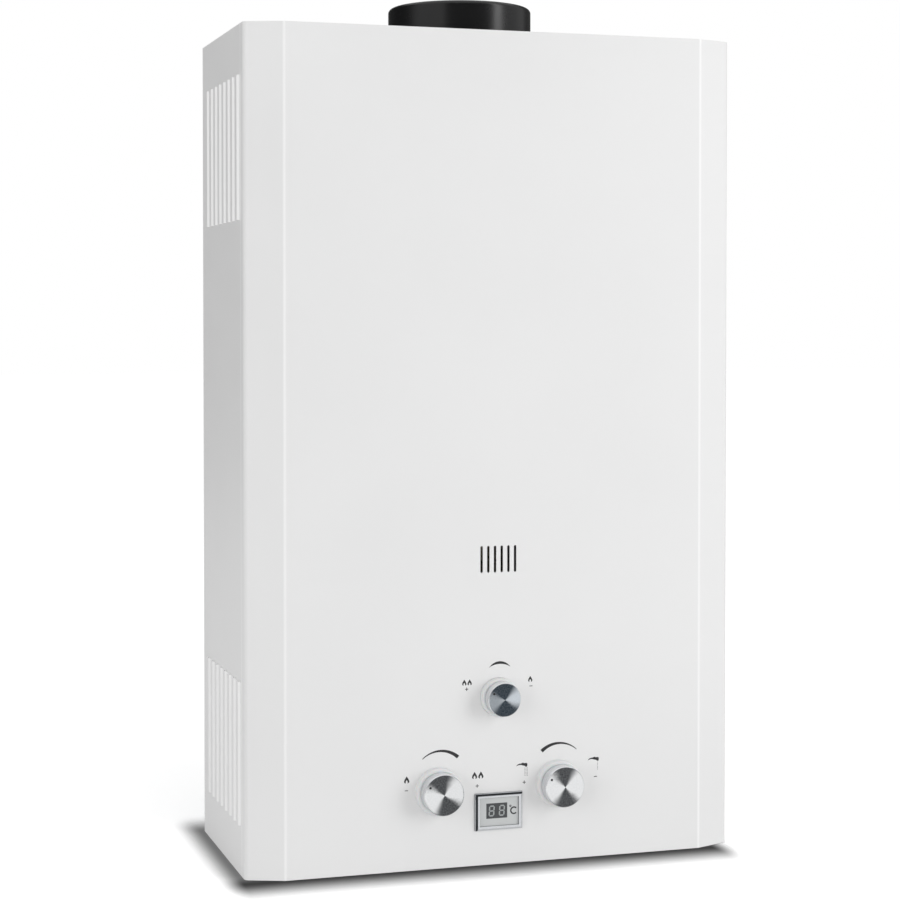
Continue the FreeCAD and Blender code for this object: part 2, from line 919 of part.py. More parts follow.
def burner_frame():
    body = new_body("burner_frame")
    sleeve(body, d.burner_base, burner_top, d.sheet)
    wall = (heat_front, heat_front + d.sheet)
    opening = d.window_width / 2 - d.window_lap
    low = slot_centre - d.window_height / 2 + d.window_lap
    high = slot_centre + d.window_height / 2 - d.window_lap
    cut(body, "y", *wall, rectangle(-opening, low, opening, high))
    cut(body, "y", *wall,
        *[circle(x, injector_z, d.injector_radius + d.panel_gap) for x in bar_x])
    cut(body, "y", *wall,
        *[circle(x, probe_z, d.probe_radius + d.panel_gap) for x in probe_x])


def burner_rails():
    inner = heat_half - d.sheet
    rails = []
    for begin in (bar_front, bar_rear - d.rail_height):
        rails.append(box(-inner, begin, d.burner_base, inner, begin + d.rail_height, bar_base))
    group("burner_rails", rails)


def burner_bars():
    throat = d.bar_throat.value
    head = d.bar_width.value
    height = d.bar_height.value
    length = value_of(bar_rear - bar_front)
    neck_height = height - head
    bars = []
    for x in bar_x:
        start = vector(x - d.bar_throat / 2, bar_front, bar_base)
        neck = Part.makeBox(throat, length, neck_height, start)
        crown_corner = vector(x - d.bar_width / 2, bar_front, bar_base + neck_height)
        bar = neck.fuse(Part.makeBox(head, length, head, crown_corner))
        mouth = Part.makeCylinder(
            d.injector_radius.value, length - head, vector(x, bar_front, injector_z),
            FreeCAD.Vector(0, 1, 0))
        bar = bar.cut(mouth)
        ports = []
        for index in range(count_of(d.port_count)):
            y = flue_y + (index - (count_of(d.port_count) - 1) / 2) * d.port_pitch
            corner = vector(x - d.bar_width / 2 + 2 * d.sheet, y - d.port_width / 2,
                            bar_base + height - head / 2)
            ports.append(Part.makeBox(value_of(d.bar_width - 4 * d.sheet),
                                      d.port_width.value, head / 2, corner))
        bars.append(bar.cut(Part.makeCompound(ports)).removeSplitter())
    shaped("burner_bars", Part.makeCompound(bars))


manifold_rear = heat_front - d.injector_reach / 2
manifold_front = manifold_rear - d.manifold_depth
manifold_floor = injector_z - d.manifold_height / 2
manifold_roof = injector_z + d.manifold_height / 2
manifold_y = manifold_rear - d.manifold_depth / 2
season_top = season_base + d.season_body_height
season_front = manifold_y - d.season_body_ahead
season_rear = season_front + d.season_body_depth
season_left = gas_x - d.season_body_aside
season_right = season_left + d.season_body_width
riser_x = season_left + d.riser_aside
gas_riser_y = season_front + d.season_body_depth / 2


def gas_manifold():
    body = new_body("gas_manifold")
    half = heat_half - d.manifold_inset
    wall = d.manifold_wall
    add(body, "z", manifold_floor, manifold_roof,
        rectangle(-half, manifold_front, half, manifold_rear))
    cut(body, "x", wall - half, half - wall, rectangle(
        manifold_front + wall, manifold_floor + wall, manifold_rear - wall, manifold_roof - wall))
    cut(body, "z", manifold_floor, manifold_floor + wall,
        circle(riser_x, manifold_y, d.riser_bore))
    cut(body, "y", manifold_rear - wall, manifold_rear,
        *[circle(x, injector_z, d.injector_radius / 2) for x in bar_x])


def gas_injectors():
    length = heat_front + d.sheet + d.injector_reach / 2 - manifold_rear
    items = []
    for x in bar_x:
        at = (x, manifold_rear, injector_z)
        items.append(minus(cylinder(d.injector_radius, length, at, "back"),
                           cylinder(d.injector_radius / 3, length, at, "back")))
    group("gas_injectors", items)


def gas_risers():
    spans = (
        (gas_x, gas_riser_y, gas_top, season_base),
        (riser_x, manifold_y, season_top, manifold_floor),
    )
    items = []
    for x, y, low, high in spans:
        items.append(minus(cylinder(d.riser_radius, high - low, (x, y, low)),
                           cylinder(d.riser_bore, high - low, (x, y, low))))
    group("gas_risers", items)


def heat_unit_brackets():
    thick = d.flue_wall
    foot_out = bracket_web + d.bracket_foot + thick
    items = []
    for level in bracket_levels:
        low = level - d.bracket_height / 2
        high = level + d.bracket_height / 2
        web = box(-bracket_web, heat_back, low, bracket_web, heat_back + thick, high)
        pieces = [web]
        for sign in (-1, 1):
            inner, outer = sign * bracket_web, sign * (bracket_web + thick)
            left, right = (outer, inner) if sign < 0 else (inner, outer)
            pieces.append(box(left, heat_back, low, right, back_inside, high))
            left, right = (-foot_out, inner) if sign < 0 else (inner, foot_out)
            pieces.append(box(left, back_inside - thick, low, right, back_inside, high))
        bracket = plus(*pieces)
        for x in (-bracket_screw_x, bracket_screw_x):
            bracket = minus(bracket, cylinder(
                screw_hole, thick, (x, back_inside - thick, level), "back"))
        items.append(bracket)
    group("heat_unit_brackets", items)


def viewing_window():
    half = d.window_width / 2
    body = new_body("viewing_window")
    add(body, "y", heat_front - d.window_thickness, heat_front, rectangle(
        -half, slot_centre - d.window_height / 2, half, slot_centre + d.window_height / 2))


# Valves and linkage

link_z = d.link_level
plug_rear = valve_front + d.plug_length + d.running_gap * 2

water_left = water_x - d.water_body_width / 2
water_right = water_x + d.water_body_width / 2
water_top = d.valve_floor + d.water_body_height
water_rear = valve_front + d.gas_body_depth
flange_left = water_left - d.flange_thickness
diaphragm_left = flange_left - d.diaphragm_thickness
cover_left = diaphragm_left - d.cover_thickness
plate_right = diaphragm_left - d.running_gap * 4
plate_left = plate_right - d.plate_thickness
cold_rise_x = water_right - d.cold_rise_inset
needle_front = valve_front + d.plug_length - d.needle_travel
needle_rear = needle_front + d.needle_length
spindle_collar = d.plug_length / 2

switch_floor = link_z + d.switch_lift
switch_right = cover_left - d.link_travel - d.button_show - 2 * d.blade_thickness
button_right = switch_right + d.button_show
blade_left = button_right + d.panel_gap
button_z = switch_floor + d.switch_height / 2
button_length = d.button_show + 2 * d.link_travel

gas_right = switch_right - d.switch_length
chamber_left = gas_left + d.chamber_end
chamber_right = gas_right - d.chamber_seat
poppet_right = chamber_right - d.poppet_radius
plunger_insert = d.solenoid_length - d.sheet - d.plunger_travel - d.plunger_play
plunger_length = d.chamber_end + plunger_insert


def gas_valve_body():
    body = new_body("gas_valve_body")
    rear = valve_front + d.gas_body_depth
    add(body, "z", d.valve_floor, gas_top, rectangle(gas_left, valve_front, gas_right, rear))
    round_edges(body, d.fold_round, lambda edge: edge.BoundBox.ZLength > 1)
    cut(body, "y", valve_front, plug_rear,
        circle(gas_x, d.knob_level, d.plug_radius + d.running_gap))
    cut(body, "x", chamber_left, chamber_right, circle(pipe_y, link_z, d.chamber_radius))
    cut(body, "x", chamber_right, gas_right,
        circle(pipe_y, link_z, d.link_radius + d.running_gap))
    cut(body, "x", gas_left, chamber_left,
        circle(pipe_y, link_z, d.plunger_radius + d.running_gap))
    cut(body, "y", plug_rear, pipe_y - d.chamber_radius / 2,
        circle(gas_x, link_z - d.chamber_radius / 2, d.riser_bore / 2))
    cut(body, "z", d.valve_floor, link_z, circle(gas_x, pipe_y, d.fitting_bore))
    cut(body, "z", d.knob_level, gas_top, circle(gas_x, gas_riser_y, d.riser_bore))


def water_valve_body():
    body = new_body("water_valve_body")
    add(body, "z", d.valve_floor, water_top,
        rectangle(water_left, valve_front, water_right, water_rear))
    round_edges(body, d.fold_round,
                lambda edge: edge.BoundBox.ZLength > 1 and edge.CenterOfMass.x > water_x.value)
    add(body, "x", flange_left, water_left, circle(pipe_y, link_z, d.flange_radius))
    cut(body, "x", flange_left, flange_left + d.chamber_wall,
        circle(pipe_y, link_z, d.membrane_radius))
    cut(body, "y", valve_front, valve_front + spindle_collar + d.running_gap * 2,
        circle(water_x, d.knob_level, d.plug_radius + d.running_gap))
    cut(body, "y", valve_front + spindle_collar, needle_rear + d.needle_travel,
        circle(water_x, d.knob_level, d.needle_radius + d.running_gap))
    cut(body, "z", d.valve_floor, d.knob_level, circle(water_x, pipe_y, d.fitting_bore))
    cut(body, "z", link_z, water_top, circle(cold_rise_x, pipe_y, d.tube_bore))
    cut(body, "z", d.valve_floor, d.valve_floor + d.drain_head_height,
        circle(drain_x, drain_y, d.drain_radius + d.running_gap))


def diaphragm_cover():
    recess = d.cover_thickness - d.chamber_wall
    turned("diaphragm_cover", [
        (d.link_radius + d.running_gap, zero),
        (d.flange_radius, zero),
        (d.flange_radius, d.cover_thickness),
        (d.membrane_radius, d.cover_thickness),
        (d.membrane_radius, d.cover_thickness - recess),
        (d.link_radius + d.running_gap, d.cover_thickness - recess),
    ], "right", (cover_left, pipe_y, link_z))


def diaphragm():
    turned("diaphragm", solid_profile(d.flange_radius, d.diaphragm_thickness),
           "right", (diaphragm_left, pipe_y, link_z))


def solid_profile(radius, height):
    return [(zero, zero), (radius, zero), (radius, height), (zero, height)]


def linkage_rod():
    length = plate_right - poppet_right
    shaft = length - d.plate_thickness
    turned("linkage_rod", [
        (zero, zero),
        (d.link_radius, zero),
        (d.link_radius, shaft),
        (d.membrane_radius - d.plate_thickness, shaft),
        (d.membrane_radius - d.plate_thickness, length),
        (zero, length),
    ], "right", (poppet_right, pipe_y, link_z))


def gas_poppet():
    turned("gas_poppet", solid_profile(d.poppet_radius, d.poppet_thickness),
           "left", (poppet_right, pipe_y, link_z))


def switch_blade():
    body = new_body("switch_blade")
    half = d.switch_width / 2
    add(body, "x", blade_left, blade_left + d.blade_thickness, rectangle(
        pipe_y - half, link_z - d.switch_lift, pipe_y + half, switch_floor + d.switch_height))
    cut(body, "x", blade_left, blade_left + d.blade_thickness,
        circle(pipe_y, link_z, d.link_radius + d.running_gap))


def micro_switch():
    body = new_body("micro_switch")
    half = d.switch_width / 2
    add(body, "x", gas_right, switch_right, rectangle(
        pipe_y - half, switch_floor, pipe_y + half, switch_floor + d.switch_height))
    depth = button_length - d.button_show + d.link_travel + d.panel_gap
    cut(body, "x", switch_right - depth, switch_right,
        circle(pipe_y, button_z, d.button_radius + d.running_gap))


def switch_button():
    turned("switch_button", solid_profile(d.button_radius, button_length),
           "left", (button_right, pipe_y, button_z))


def solenoid_coil():
    bore = d.plunger_radius + d.running_gap
    end = d.solenoid_length - d.sheet
    turned("solenoid_coil", [
        (bore, zero),
        (d.solenoid_radius, zero),
        (d.solenoid_radius, d.solenoid_length),
        (zero, d.solenoid_length),
        (zero, end),
        (bore, end),
    ], "left", (gas_left, pipe_y, link_z))


def solenoid_plunger():
    turned("solenoid_plunger", solid_profile(d.plunger_radius, plunger_length),
           "left", (chamber_left + d.running_gap, pipe_y, link_z))


def season_valve_body():
    body = new_body("season_valve_body")
    add(body, "z", season_base, season_top,
        rectangle(season_left, season_front, season_right, season_rear))
    round_edges(body, d.fold_round, lambda edge: edge.BoundBox.ZLength > 1)
    cut(body, "y", season_front, season_front + d.plug_length + d.running_gap * 2,
        circle(zero, d.season_level, d.plug_radius + d.running_gap))
    cut(body, "z", season_base, d.season_level, circle(gas_x, gas_riser_y, d.riser_bore))
    cut(body, "x", gas_x, zero, circle(gas_riser_y, d.season_level, d.riser_bore))
    cut(body, "z", d.season_level, season_top, circle(riser_x, manifold_y, d.riser_bore))


# Knobs, bezels and spindles

CONTROLS = {
    "season": (zero, d.season_level, d.season_radius, d.season_reach,
               d.season_bezel_wall, season_front, d.plug_length),
    "gas": (gas_x, d.knob_level, d.knob_radius, d.knob_reach,
            d.bezel_wall, valve_front, d.plug_length),
    "water": (water_x, d.knob_level, d.knob_radius, d.knob_reach,
              d.bezel_wall, valve_front, spindle_collar),
}


def knob(name):
    x, z, radius, reach = CONTROLS[name][:4]
    start = d.panel_gap * 2
    crown = reach - d.knob_wall
    floor = reach - start
    bore = d.spindle_radius + d.running_gap
    body = turned(f"{name}_knob", [
        (radius - d.knob_wall, zero),
        (radius, zero),
        (radius, floor),
        (zero, floor),
        (zero, crown - start),
        (bore, crown - start),
        (bore, zero),
        (d.knob_hub, zero),
        (d.knob_hub, crown - start),
        (radius - d.knob_wall, crown - start),
    ], "front", (x, front - start, z))
    key_start = crown - start - d.spindle_insert + 2 * d.panel_gap
    add(body, "z", key_start, crown - start, rectangle(
        d.spindle_flat + d.running_gap, -d.spindle_flat,
        (d.spindle_radius + d.knob_hub) / 2, d.spindle_flat))
    round_edges(body, d.knob_edge,
                lambda edge: (edge.BoundBox.ZMin > floor.value - 0.01
                              and edge.BoundBox.XLength > 2 * radius.value - 0.1),
                "PartDesign::Chamfer")
    angle = math.radians(d.pointer_angle.value)
    reach_out = radius - d.knob_edge - 2 * d.pointer_radius
    across = reach_out * math.cos(angle)
    upward = reach_out * math.sin(angle)
    cut(body, "z", floor - d.pointer_depth, floor, circle(across, upward, d.pointer_radius))


def bezel(name):
    x, z, radius, _, wall = CONTROLS[name][:5]
    inner = radius + d.turning_gap
    tail = d.bezel_tail
    body = turned(f"{name}_bezel", [
        (inner, -tail),
        (inner + d.bezel_spigot, -tail),
        (inner + d.bezel_spigot, zero),
        (inner + wall, zero),
        (inner + wall, d.bezel_rise),
        (inner, d.bezel_rise),
    ], "front", (x, front, z))
    round_edges(body, wall / 3, lambda edge: edge.BoundBox.ZMin > d.bezel_rise.value - 0.01)


def spindle(name):
    x, z, _, reach, _, body_front, collar = CONTROLS[name]
    rear = body_front + d.running_gap * 2
    tip = front - reach + d.knob_wall + d.panel_gap
    length = rear + collar - tip
    body = turned(f"{name}_spindle", [
        (zero, zero),
        (d.plug_radius, zero),
        (d.plug_radius, collar - d.running_gap),
        (d.spindle_radius, collar - d.running_gap),
        (d.spindle_radius, length - d.running_gap),
        (zero, length - d.running_gap),
    ], "front", (x, rear + collar - d.running_gap, z))
    cut(body, "z", length - d.spindle_insert, length, rectangle(
        d.spindle_flat, -d.spindle_radius * 2, d.spindle_radius * 2, d.spindle_radius * 2))


def spindle_glands():
    items = []
    for x, z, _, _, _, body_front, _ in CONTROLS.values():
        at = (x, body_front, z)
        ring = cylinder(d.gland_radius, d.gland_thickness, at, "front")
        hole = cylinder(d.spindle_radius + d.running_gap, d.gland_thickness, at, "front")
        items.append(minus(ring, hole))
    group("spindle_glands", items)


def water_needle():
    taper = d.needle_radius * 2
    turned("water_needle", [
        (zero, zero),
        (d.needle_radius, zero),
        (d.needle_radius, d.needle_length - taper),
        (d.needle_radius / 4, d.needle_length),
        (zero, d.needle_length),
    ], "back", (water_x, needle_front, d.knob_level))


def drain_plug():
    head_floor = panel_floor - d.drain_head_height
    bore_end = d.valve_floor + d.drain_head_height
    body = turned("drain_plug", [
        (zero, zero),
        (d.drain_head, zero),
        (d.drain_head, d.drain_head_height - d.panel_gap),
        (d.drain_radius, d.drain_head_height - d.panel_gap),
        (d.drain_radius, bore_end - head_floor - d.panel_gap),
        (zero, bore_end - head_floor - d.panel_gap),
    ], "up", (drain_x, drain_y, head_floor))
    reach = d.drain_head * 2
    for low, high in ((d.drain_grip, reach), (-reach, -d.drain_grip)):
        cut(body, "z", zero, d.drain_grip_height, rectangle(-reach, low, reach, high))


# Connections and pipes

def fitting(label, x):
    """A pipe stub pushed up through the bottom panel and held by a nut above it."""
    foot = d.fitting_foot
    shoulder = panel_floor - d.fitting_collar_height - foot
    seat = panel_floor - foot
    turned(label, [
        (d.fitting_bore, zero),
        (d.thread_radius, zero),
        (d.thread_radius, shoulder),
        (d.fitting_collar, shoulder),
        (d.fitting_collar, seat),
        (d.thread_radius, seat),
        (d.thread_radius, d.valve_floor - foot),
        (d.fitting_bore, d.valve_floor - foot),
    ], "up", (x, pipe_y, foot))


def lock_nuts():
    bore = d.thread_radius + d.running_gap
    items = []
    for x in (hot_x, gas_x, water_x):
        at = (x, pipe_y, panel_ceiling)
        hexagon = doc.addObject("Part::Prism", "hexagon")
        hexagon.Polygon = 6
        bind(hexagon, "Circumradius", d.nut_radius)
        bind(hexagon, "Height", d.nut_height)
        place(hexagon, *at)
        items.append(minus(hexagon, cylinder(bore, d.nut_height, at)))
    group("lock_nuts", items)


def cold_pipe():
    level = d.pipe_level
    away = cold_side_x
    path = bent_path([
        vector(cold_rise_x, pipe_y, water_top),
        vector(cold_rise_x, pipe_y, level),
        vector(away, pipe_y, level),
        vector(away, pipe_y, tube_level),
        vector(heat_half + d.tube_overhang, pipe_y, tube_level),
    ], d.pipe_bend.value)
    shaped("cold_pipe", bent_tube(path, d.tube_radius.value, d.tube_bore.value))


def hot_pipe():
    last = pass_y[-1]
    path = bent_path([
        vector(-heat_half - d.tube_overhang, last, tube_level),
        vector(hot_x, last, tube_level),
        vector(hot_x, last, d.pipe_level),
        vector(hot_x, pipe_y, d.pipe_level),
        vector(hot_x, pipe_y, d.valve_floor),
    ], d.pipe_bend.value)
    shaped("hot_pipe", bent_tube(path, d.tube_radius.value, d.tube_bore.value))


# Display

def display_frame():
    body = new_body("display_frame")
    half_x = d.display_width / 2
    half_z = d.display_height / 2
    level = display_level
    border = d.display_border
    add(body, "y", front - d.display_rise, front,
        rectangle(-half_x, level - half_z, half_x, level + half_z))
    add(body, "y", front, front + d.display_tail,
        rectangle(-display_tail_x, level - display_tail_z,
                  display_tail_x, level + display_tail_z))
    cut(body, "y", front - d.display_rise, front + d.display_tail,
        rectangle(border - half_x, level - half_z + border,
                  half_x - border, level + half_z - border))
    round_edges(body, d.display_edge,
                lambda edge: (edge.BoundBox.YMax < value_of(front - d.display_rise) + 0.01
                              and on_rim(edge, half_x, half_z, level)),
                "PartDesign::Chamfer")


def on_rim(edge, half_x, half_z, level):
    """True for the edges along a centred rectangle's outside."""
    middle = edge.CenterOfMass
    return (abs(abs(middle.x) - half_x.value) < 0.01
            or abs(abs(middle.z - level.value) - half_z.value) < 0.01)


def display_window():
    body = new_body("display_window")
    half_x = d.display_width / 2 - d.display_border - d.panel_gap / 3
    half_z = d.display_height / 2 - d.display_border - d.panel_gap / 3
    start = front - d.display_rise / 2
    add(body, "y", start, start + d.display_glass, rectangle(
        -half_x, display_level - half_z, half_x, display_level + half_z))


def display_board():
    body = new_body("display_board")
    start = front + d.display_tail
    add(body, "y", start, start + d.board_thickness,
        rectangle(-display_tail_x, display_level - display_tail_z,
                  display_tail_x, display_level + display_tail_z))
    digits_x = display_tail_x / 2
    digits_z = display_tail_z / 2
    glass_rear = front - d.display_rise / 2 + d.display_glass
    add(body, "y", glass_rear + d.panel_gap, start,
        rectangle(-digits_x, display_level - digits_z, digits_x, display_level + digits_z))


# Batteries, ignition and wiring

def battery_box():
    body = new_body("battery_box")
    lap = d.box_flange
    add(body, "z", box_floor, box_roof, rectangle(box_left, box_front, box_right, box_rear))
    add(body, "z", box_floor, panel_floor, rectangle(
        box_left - lap, box_front - lap, box_right + lap, box_rear + lap))
    wall = d.box_wall
    cut(body, "z", box_floor, box_roof - wall, rectangle(
        box_left + wall, box_front + wall, box_right - wall, box_rear - wall))
    for low, high in lug_spans():
        add(body, "x", low, high, rectangle(
            box_rear + lap, hinge_z, hinge_y + d.knuckle_radius, panel_floor - d.panel_gap))
        add(body, "x", low, high, circle(hinge_y, hinge_z, d.knuckle_radius))
        cut(body, "x", low, high, circle(hinge_y, hinge_z, d.hinge_radius + d.running_gap))


hinge_y = box_rear + d.box_flange + d.knuckle_radius + d.panel_gap
hinge_z = box_floor - d.panel_gap - d.lid_thickness / 2


def lug_spans():
    """Left and right ends of the two hinge lugs."""
    inset = d.cell_radius / 2
    left = box_left + inset
    right = box_right - inset
    return ((left, left + d.knuckle_width), (right - d.knuckle_width, right))


def knuckle_spans():
    """Left and right ends of the lid's two knuckles, inside the lugs."""
    (_, left), (right, _) = lug_spans()
    gap = d.panel_gap
    return ((left + gap, left + gap + d.knuckle_width), (right - gap - d.knuckle_width, right - gap))


def battery_lid():
    body = new_body("battery_lid")
    lap = d.box_flange
    roof = box_floor - d.panel_gap
    add(body, "z", roof - d.lid_thickness, roof, rectangle(
        box_left - lap, box_front - lap, box_right + lap, box_rear + lap - d.panel_gap))
    for low, high in knuckle_spans():
        add(body, "z", roof - d.lid_thickness, roof,
            rectangle(low, box_rear + lap - d.panel_gap * 2, high, hinge_y))
        add(body, "x", low, high, circle(hinge_y, hinge_z, d.knuckle_radius))
        cut(body, "x", low, high, circle(hinge_y, hinge_z, d.hinge_radius + d.running_gap))


def lid_pin():
    (left, _), (_, right) = lug_spans()
    turned("lid_pin", solid_profile(d.hinge_radius, right - left),
           "right", (left, hinge_y, hinge_z))


cell_x = (box_left + d.box_wall + d.cell_gap + d.cell_radius,
          box_right - d.box_wall - d.cell_gap - d.cell_radius)


def battery_cells():
    nub = d.cell_radius / 3
    items = []
    for x in cell_x:
        can = cylinder(d.cell_radius, d.cell_length - nub / 4, (x, pipe_y, cell_floor))
        cap = cylinder(nub, d.cell_length, (x, pipe_y, cell_floor))
        items.append(plus(can, cap))
    group("battery_cells", items)


def battery_contacts():
    cell_top = cell_floor + d.cell_length
    items = [cylinder(d.cell_radius / 2, box_roof - d.box_wall - cell_top, (x, pipe_y, cell_top))
             for x in cell_x]
    group("battery_contacts", items)


module_right = side_inside - d.module_margin
module_front = back_inside - d.module_depth


def ignition_module():
    body = new_body("ignition_module")
    add(body, "z", d.module_base, d.module_base + d.module_height, rectangle(
        module_right - d.module_width, module_front, module_right, back_inside))
    round_edges(body, d.sheet * 2,
                lambda edge: (edge.BoundBox.ZLength > 1
                              and edge.CenterOfMass.y < value_of(back_inside) - 1))


def flame_probes():
    items = []
    for x in probe_x:
        rear = heat_front + d.injector_reach
        cuff = cylinder(d.probe_radius + d.sheet * 2, d.sheet * 2,
                        (x, heat_front, probe_z), "front")
        ceramic = cylinder(d.probe_radius, d.injector_reach * 3, (x, rear, probe_z), "front")
        wire = cylinder(d.probe_wire, d.injector_reach * 4, (x, rear, probe_z), "back")
        items.append(plus(cuff, ceramic, wire))
    group("flame_probes", items)


def overheat_cutout():
    turned("overheat_cutout", solid_profile(d.cutout_radius, d.cutout_thickness), "front",
           (heat_half / 2, heat_front, tube_level - d.cutout_drop))


def wiring():
    """The spark lead round the front of the manifold, and the lead up from the battery box."""
    radius = d.lead_radius.value
    spark_lead_x = module_right - d.module_width / 2
    battery_lead_x = spark_lead_x + d.lead_spacing
    level = d.module_base + d.module_height / 2
    lead_y = (front_inside + manifold_front) / 2
    spark_x = probe_x[0]
    probe_front = heat_front - 2 * d.injector_reach
    spark_lead = [
        vector(spark_lead_x, module_front, level),
        vector(spark_lead_x, lead_y, level),
        vector(spark_x, lead_y, level),
        vector(spark_x, lead_y, probe_z),
        vector(spark_x, probe_front, probe_z),
    ]
    battery_lead = [
        vector(battery_lead_x, pipe_y, box_roof),
        vector(battery_lead_x, pipe_y, level),
        vector(battery_lead_x, module_front, level),
    ]
    leads = [swept_rod(bent_path(points, d.lead_bend.value), radius)
             for points in (spark_lead, battery_lead)]
    shaped("wiring", Part.makeCompound(leads))


# Screws

def screw(at, facing, length, head_height=d.screw_head_height):
    """A screw: the head stands on the point, the shank goes behind it."""
    head = cylinder(d.screw_head, head_height, at, facing)
    opposite = {"up": "down", "front": "back", "down": "up"}[facing]
    return plus(head, cylinder(d.screw_radius, length, at, opposite))


def screws():
    items = []
    for x in (-flange_screw_x, flange_screw_x):
        for z, facing in ((top - d.sheet, "up"), (d.sheet, "down")):
            items.append(screw((x, flange_screw_y, z), facing, d.screw_length,
                               d.sunk_head_height))
    for x, y in collar_screw_spots:
        seat = top - d.sheet + d.flue_wall
        items.append(screw((x, flue_y + y, seat), "up", d.screw_length))
    for x in (-bracket_screw_x, bracket_screw_x):
        for z in bracket_levels:
            items.append(screw((x, back_inside - d.flue_wall, z), "front",
                               d.flue_wall + d.sheet))
    group("screws", items)


# Build every piece

front_cover()
rear_panel()
top_panel()
bottom_panel()
flue_collar()
flue_hood()
exchanger_shell()
exchanger_tube()
fin_pack()
burner_frame()
burner_rails()
burner_bars()
gas_manifold()
gas_injectors()
gas_risers()
heat_unit_brackets()
viewing_window()
gas_valve_body()
water_valve_body()
diaphragm_cover()
diaphragm()
linkage_rod()
gas_poppet()
switch_blade()
micro_switch()
switch_button()
solenoid_coil()
solenoid_plunger()
season_valve_body()
for control in CONTROLS:
    knob(control)
    bezel(control)
    spindle(control)
spindle_glands()
water_needle()
drain_plug()
fitting("gas_inlet", gas_x)
fitting("cold_inlet", water_x)
fitting("hot_outlet", hot_x)
lock_nuts()
cold_pipe()
hot_pipe()
display_frame()
display_window()
display_board()
battery_box()
battery_lid()
lid_pin()
battery_cells()
battery_contacts()
ignition_module()
flame_probes()
overheat_cutout()
wiring()
screws()

# Check and write

doc.recompute()
for item in doc.Objects:
    if "Invalid" in item.State or "Error" in item.State:
        raise ValueError(f"{item.Name} did not compute: {item.State}")
for item in parts:
    if item.Shape.isNull() or not item.Shape.isValid():
        raise ValueError(f"{item.Label} has no sound shape")
    item.Shape.exportStep(f"parts/{item.Label}.step")
print(len(parts), "pieces written")
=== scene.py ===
# %% [markdown]
# # A wall-hung gas water heater
#
# The heater is a folded sheet-metal case with a black flue collar on top, three turned metal knobs and a small
# temperature display. Its exact solids are loaded first, and nothing here moves them or changes their size. What
# Blender adds is the finish of every surface and the fine pieces that are tedious in a solid modeller: printed
# signs, pipe threads, digits and screw heads.

import json
import math

import bmesh
import bpy
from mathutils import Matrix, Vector


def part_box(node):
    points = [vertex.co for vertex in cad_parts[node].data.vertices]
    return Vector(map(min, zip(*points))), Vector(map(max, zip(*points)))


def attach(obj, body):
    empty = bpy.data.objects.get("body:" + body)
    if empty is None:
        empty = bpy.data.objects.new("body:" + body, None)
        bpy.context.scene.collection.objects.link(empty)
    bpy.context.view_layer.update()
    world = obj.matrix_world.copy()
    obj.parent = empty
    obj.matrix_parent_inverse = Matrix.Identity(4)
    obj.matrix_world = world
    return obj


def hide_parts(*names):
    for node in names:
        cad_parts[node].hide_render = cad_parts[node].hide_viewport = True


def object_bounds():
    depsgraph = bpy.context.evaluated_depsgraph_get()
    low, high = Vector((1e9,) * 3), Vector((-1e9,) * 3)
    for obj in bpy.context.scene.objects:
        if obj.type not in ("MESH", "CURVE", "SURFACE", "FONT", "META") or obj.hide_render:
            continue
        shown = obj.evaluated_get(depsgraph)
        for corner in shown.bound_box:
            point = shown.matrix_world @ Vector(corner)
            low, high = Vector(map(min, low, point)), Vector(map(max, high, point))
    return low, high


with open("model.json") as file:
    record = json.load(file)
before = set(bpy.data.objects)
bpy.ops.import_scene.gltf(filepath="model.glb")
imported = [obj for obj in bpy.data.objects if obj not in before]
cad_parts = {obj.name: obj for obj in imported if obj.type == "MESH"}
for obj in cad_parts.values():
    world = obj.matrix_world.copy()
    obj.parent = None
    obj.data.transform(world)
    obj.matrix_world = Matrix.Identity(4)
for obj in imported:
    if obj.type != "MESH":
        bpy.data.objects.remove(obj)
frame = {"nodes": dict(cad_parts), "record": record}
solid_low, solid_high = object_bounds()
nodes = frame["nodes"]
print(len(nodes), "solids, from", tuple(round(v, 4) for v in solid_low), "to",
      tuple(round(v, 4) for v in solid_high))

# %% [markdown]
# ## Measures
#
# Everything is placed from the solids themselves, so that a knob's finish and its printed signs stay with the knob
# if the case changes. A size that belongs to a printed sign is written in millimetres, as on a drawing.

# %% Measures taken from the solids
MM = 0.001


class Place:
    """The middle, corners and radius of one solid's box."""

    def __init__(self, node):
        self.low, self.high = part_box(node)
        self.middle = (self.low + self.high) / 2
        self.radius = (self.high.x - self.low.x) / 2


cover = Place("front_cover")
knobs = {name: Place(f"{name}_knob") for name in ("season", "gas", "water")}
window = Place("display_window")
front = cover.low.y
print("front plane at", round(front / MM, 2), "mm, knobs",
      {name: round(place.radius / MM, 2) for name, place in knobs.items()})

# %% [markdown]
# ## Writing finishes as sums
#
# A finish is a small network of nodes. Written node by node it is hard to read, so a socket is wrapped in a class
# whose `+`, `-`, `*` and `/` add the Math node for that sum. `1 - wear` then reads as it would on paper. Colours don't
# go through Math nodes, which turn them grey; `blend` mixes them. Everything else goes through one method, `add`.

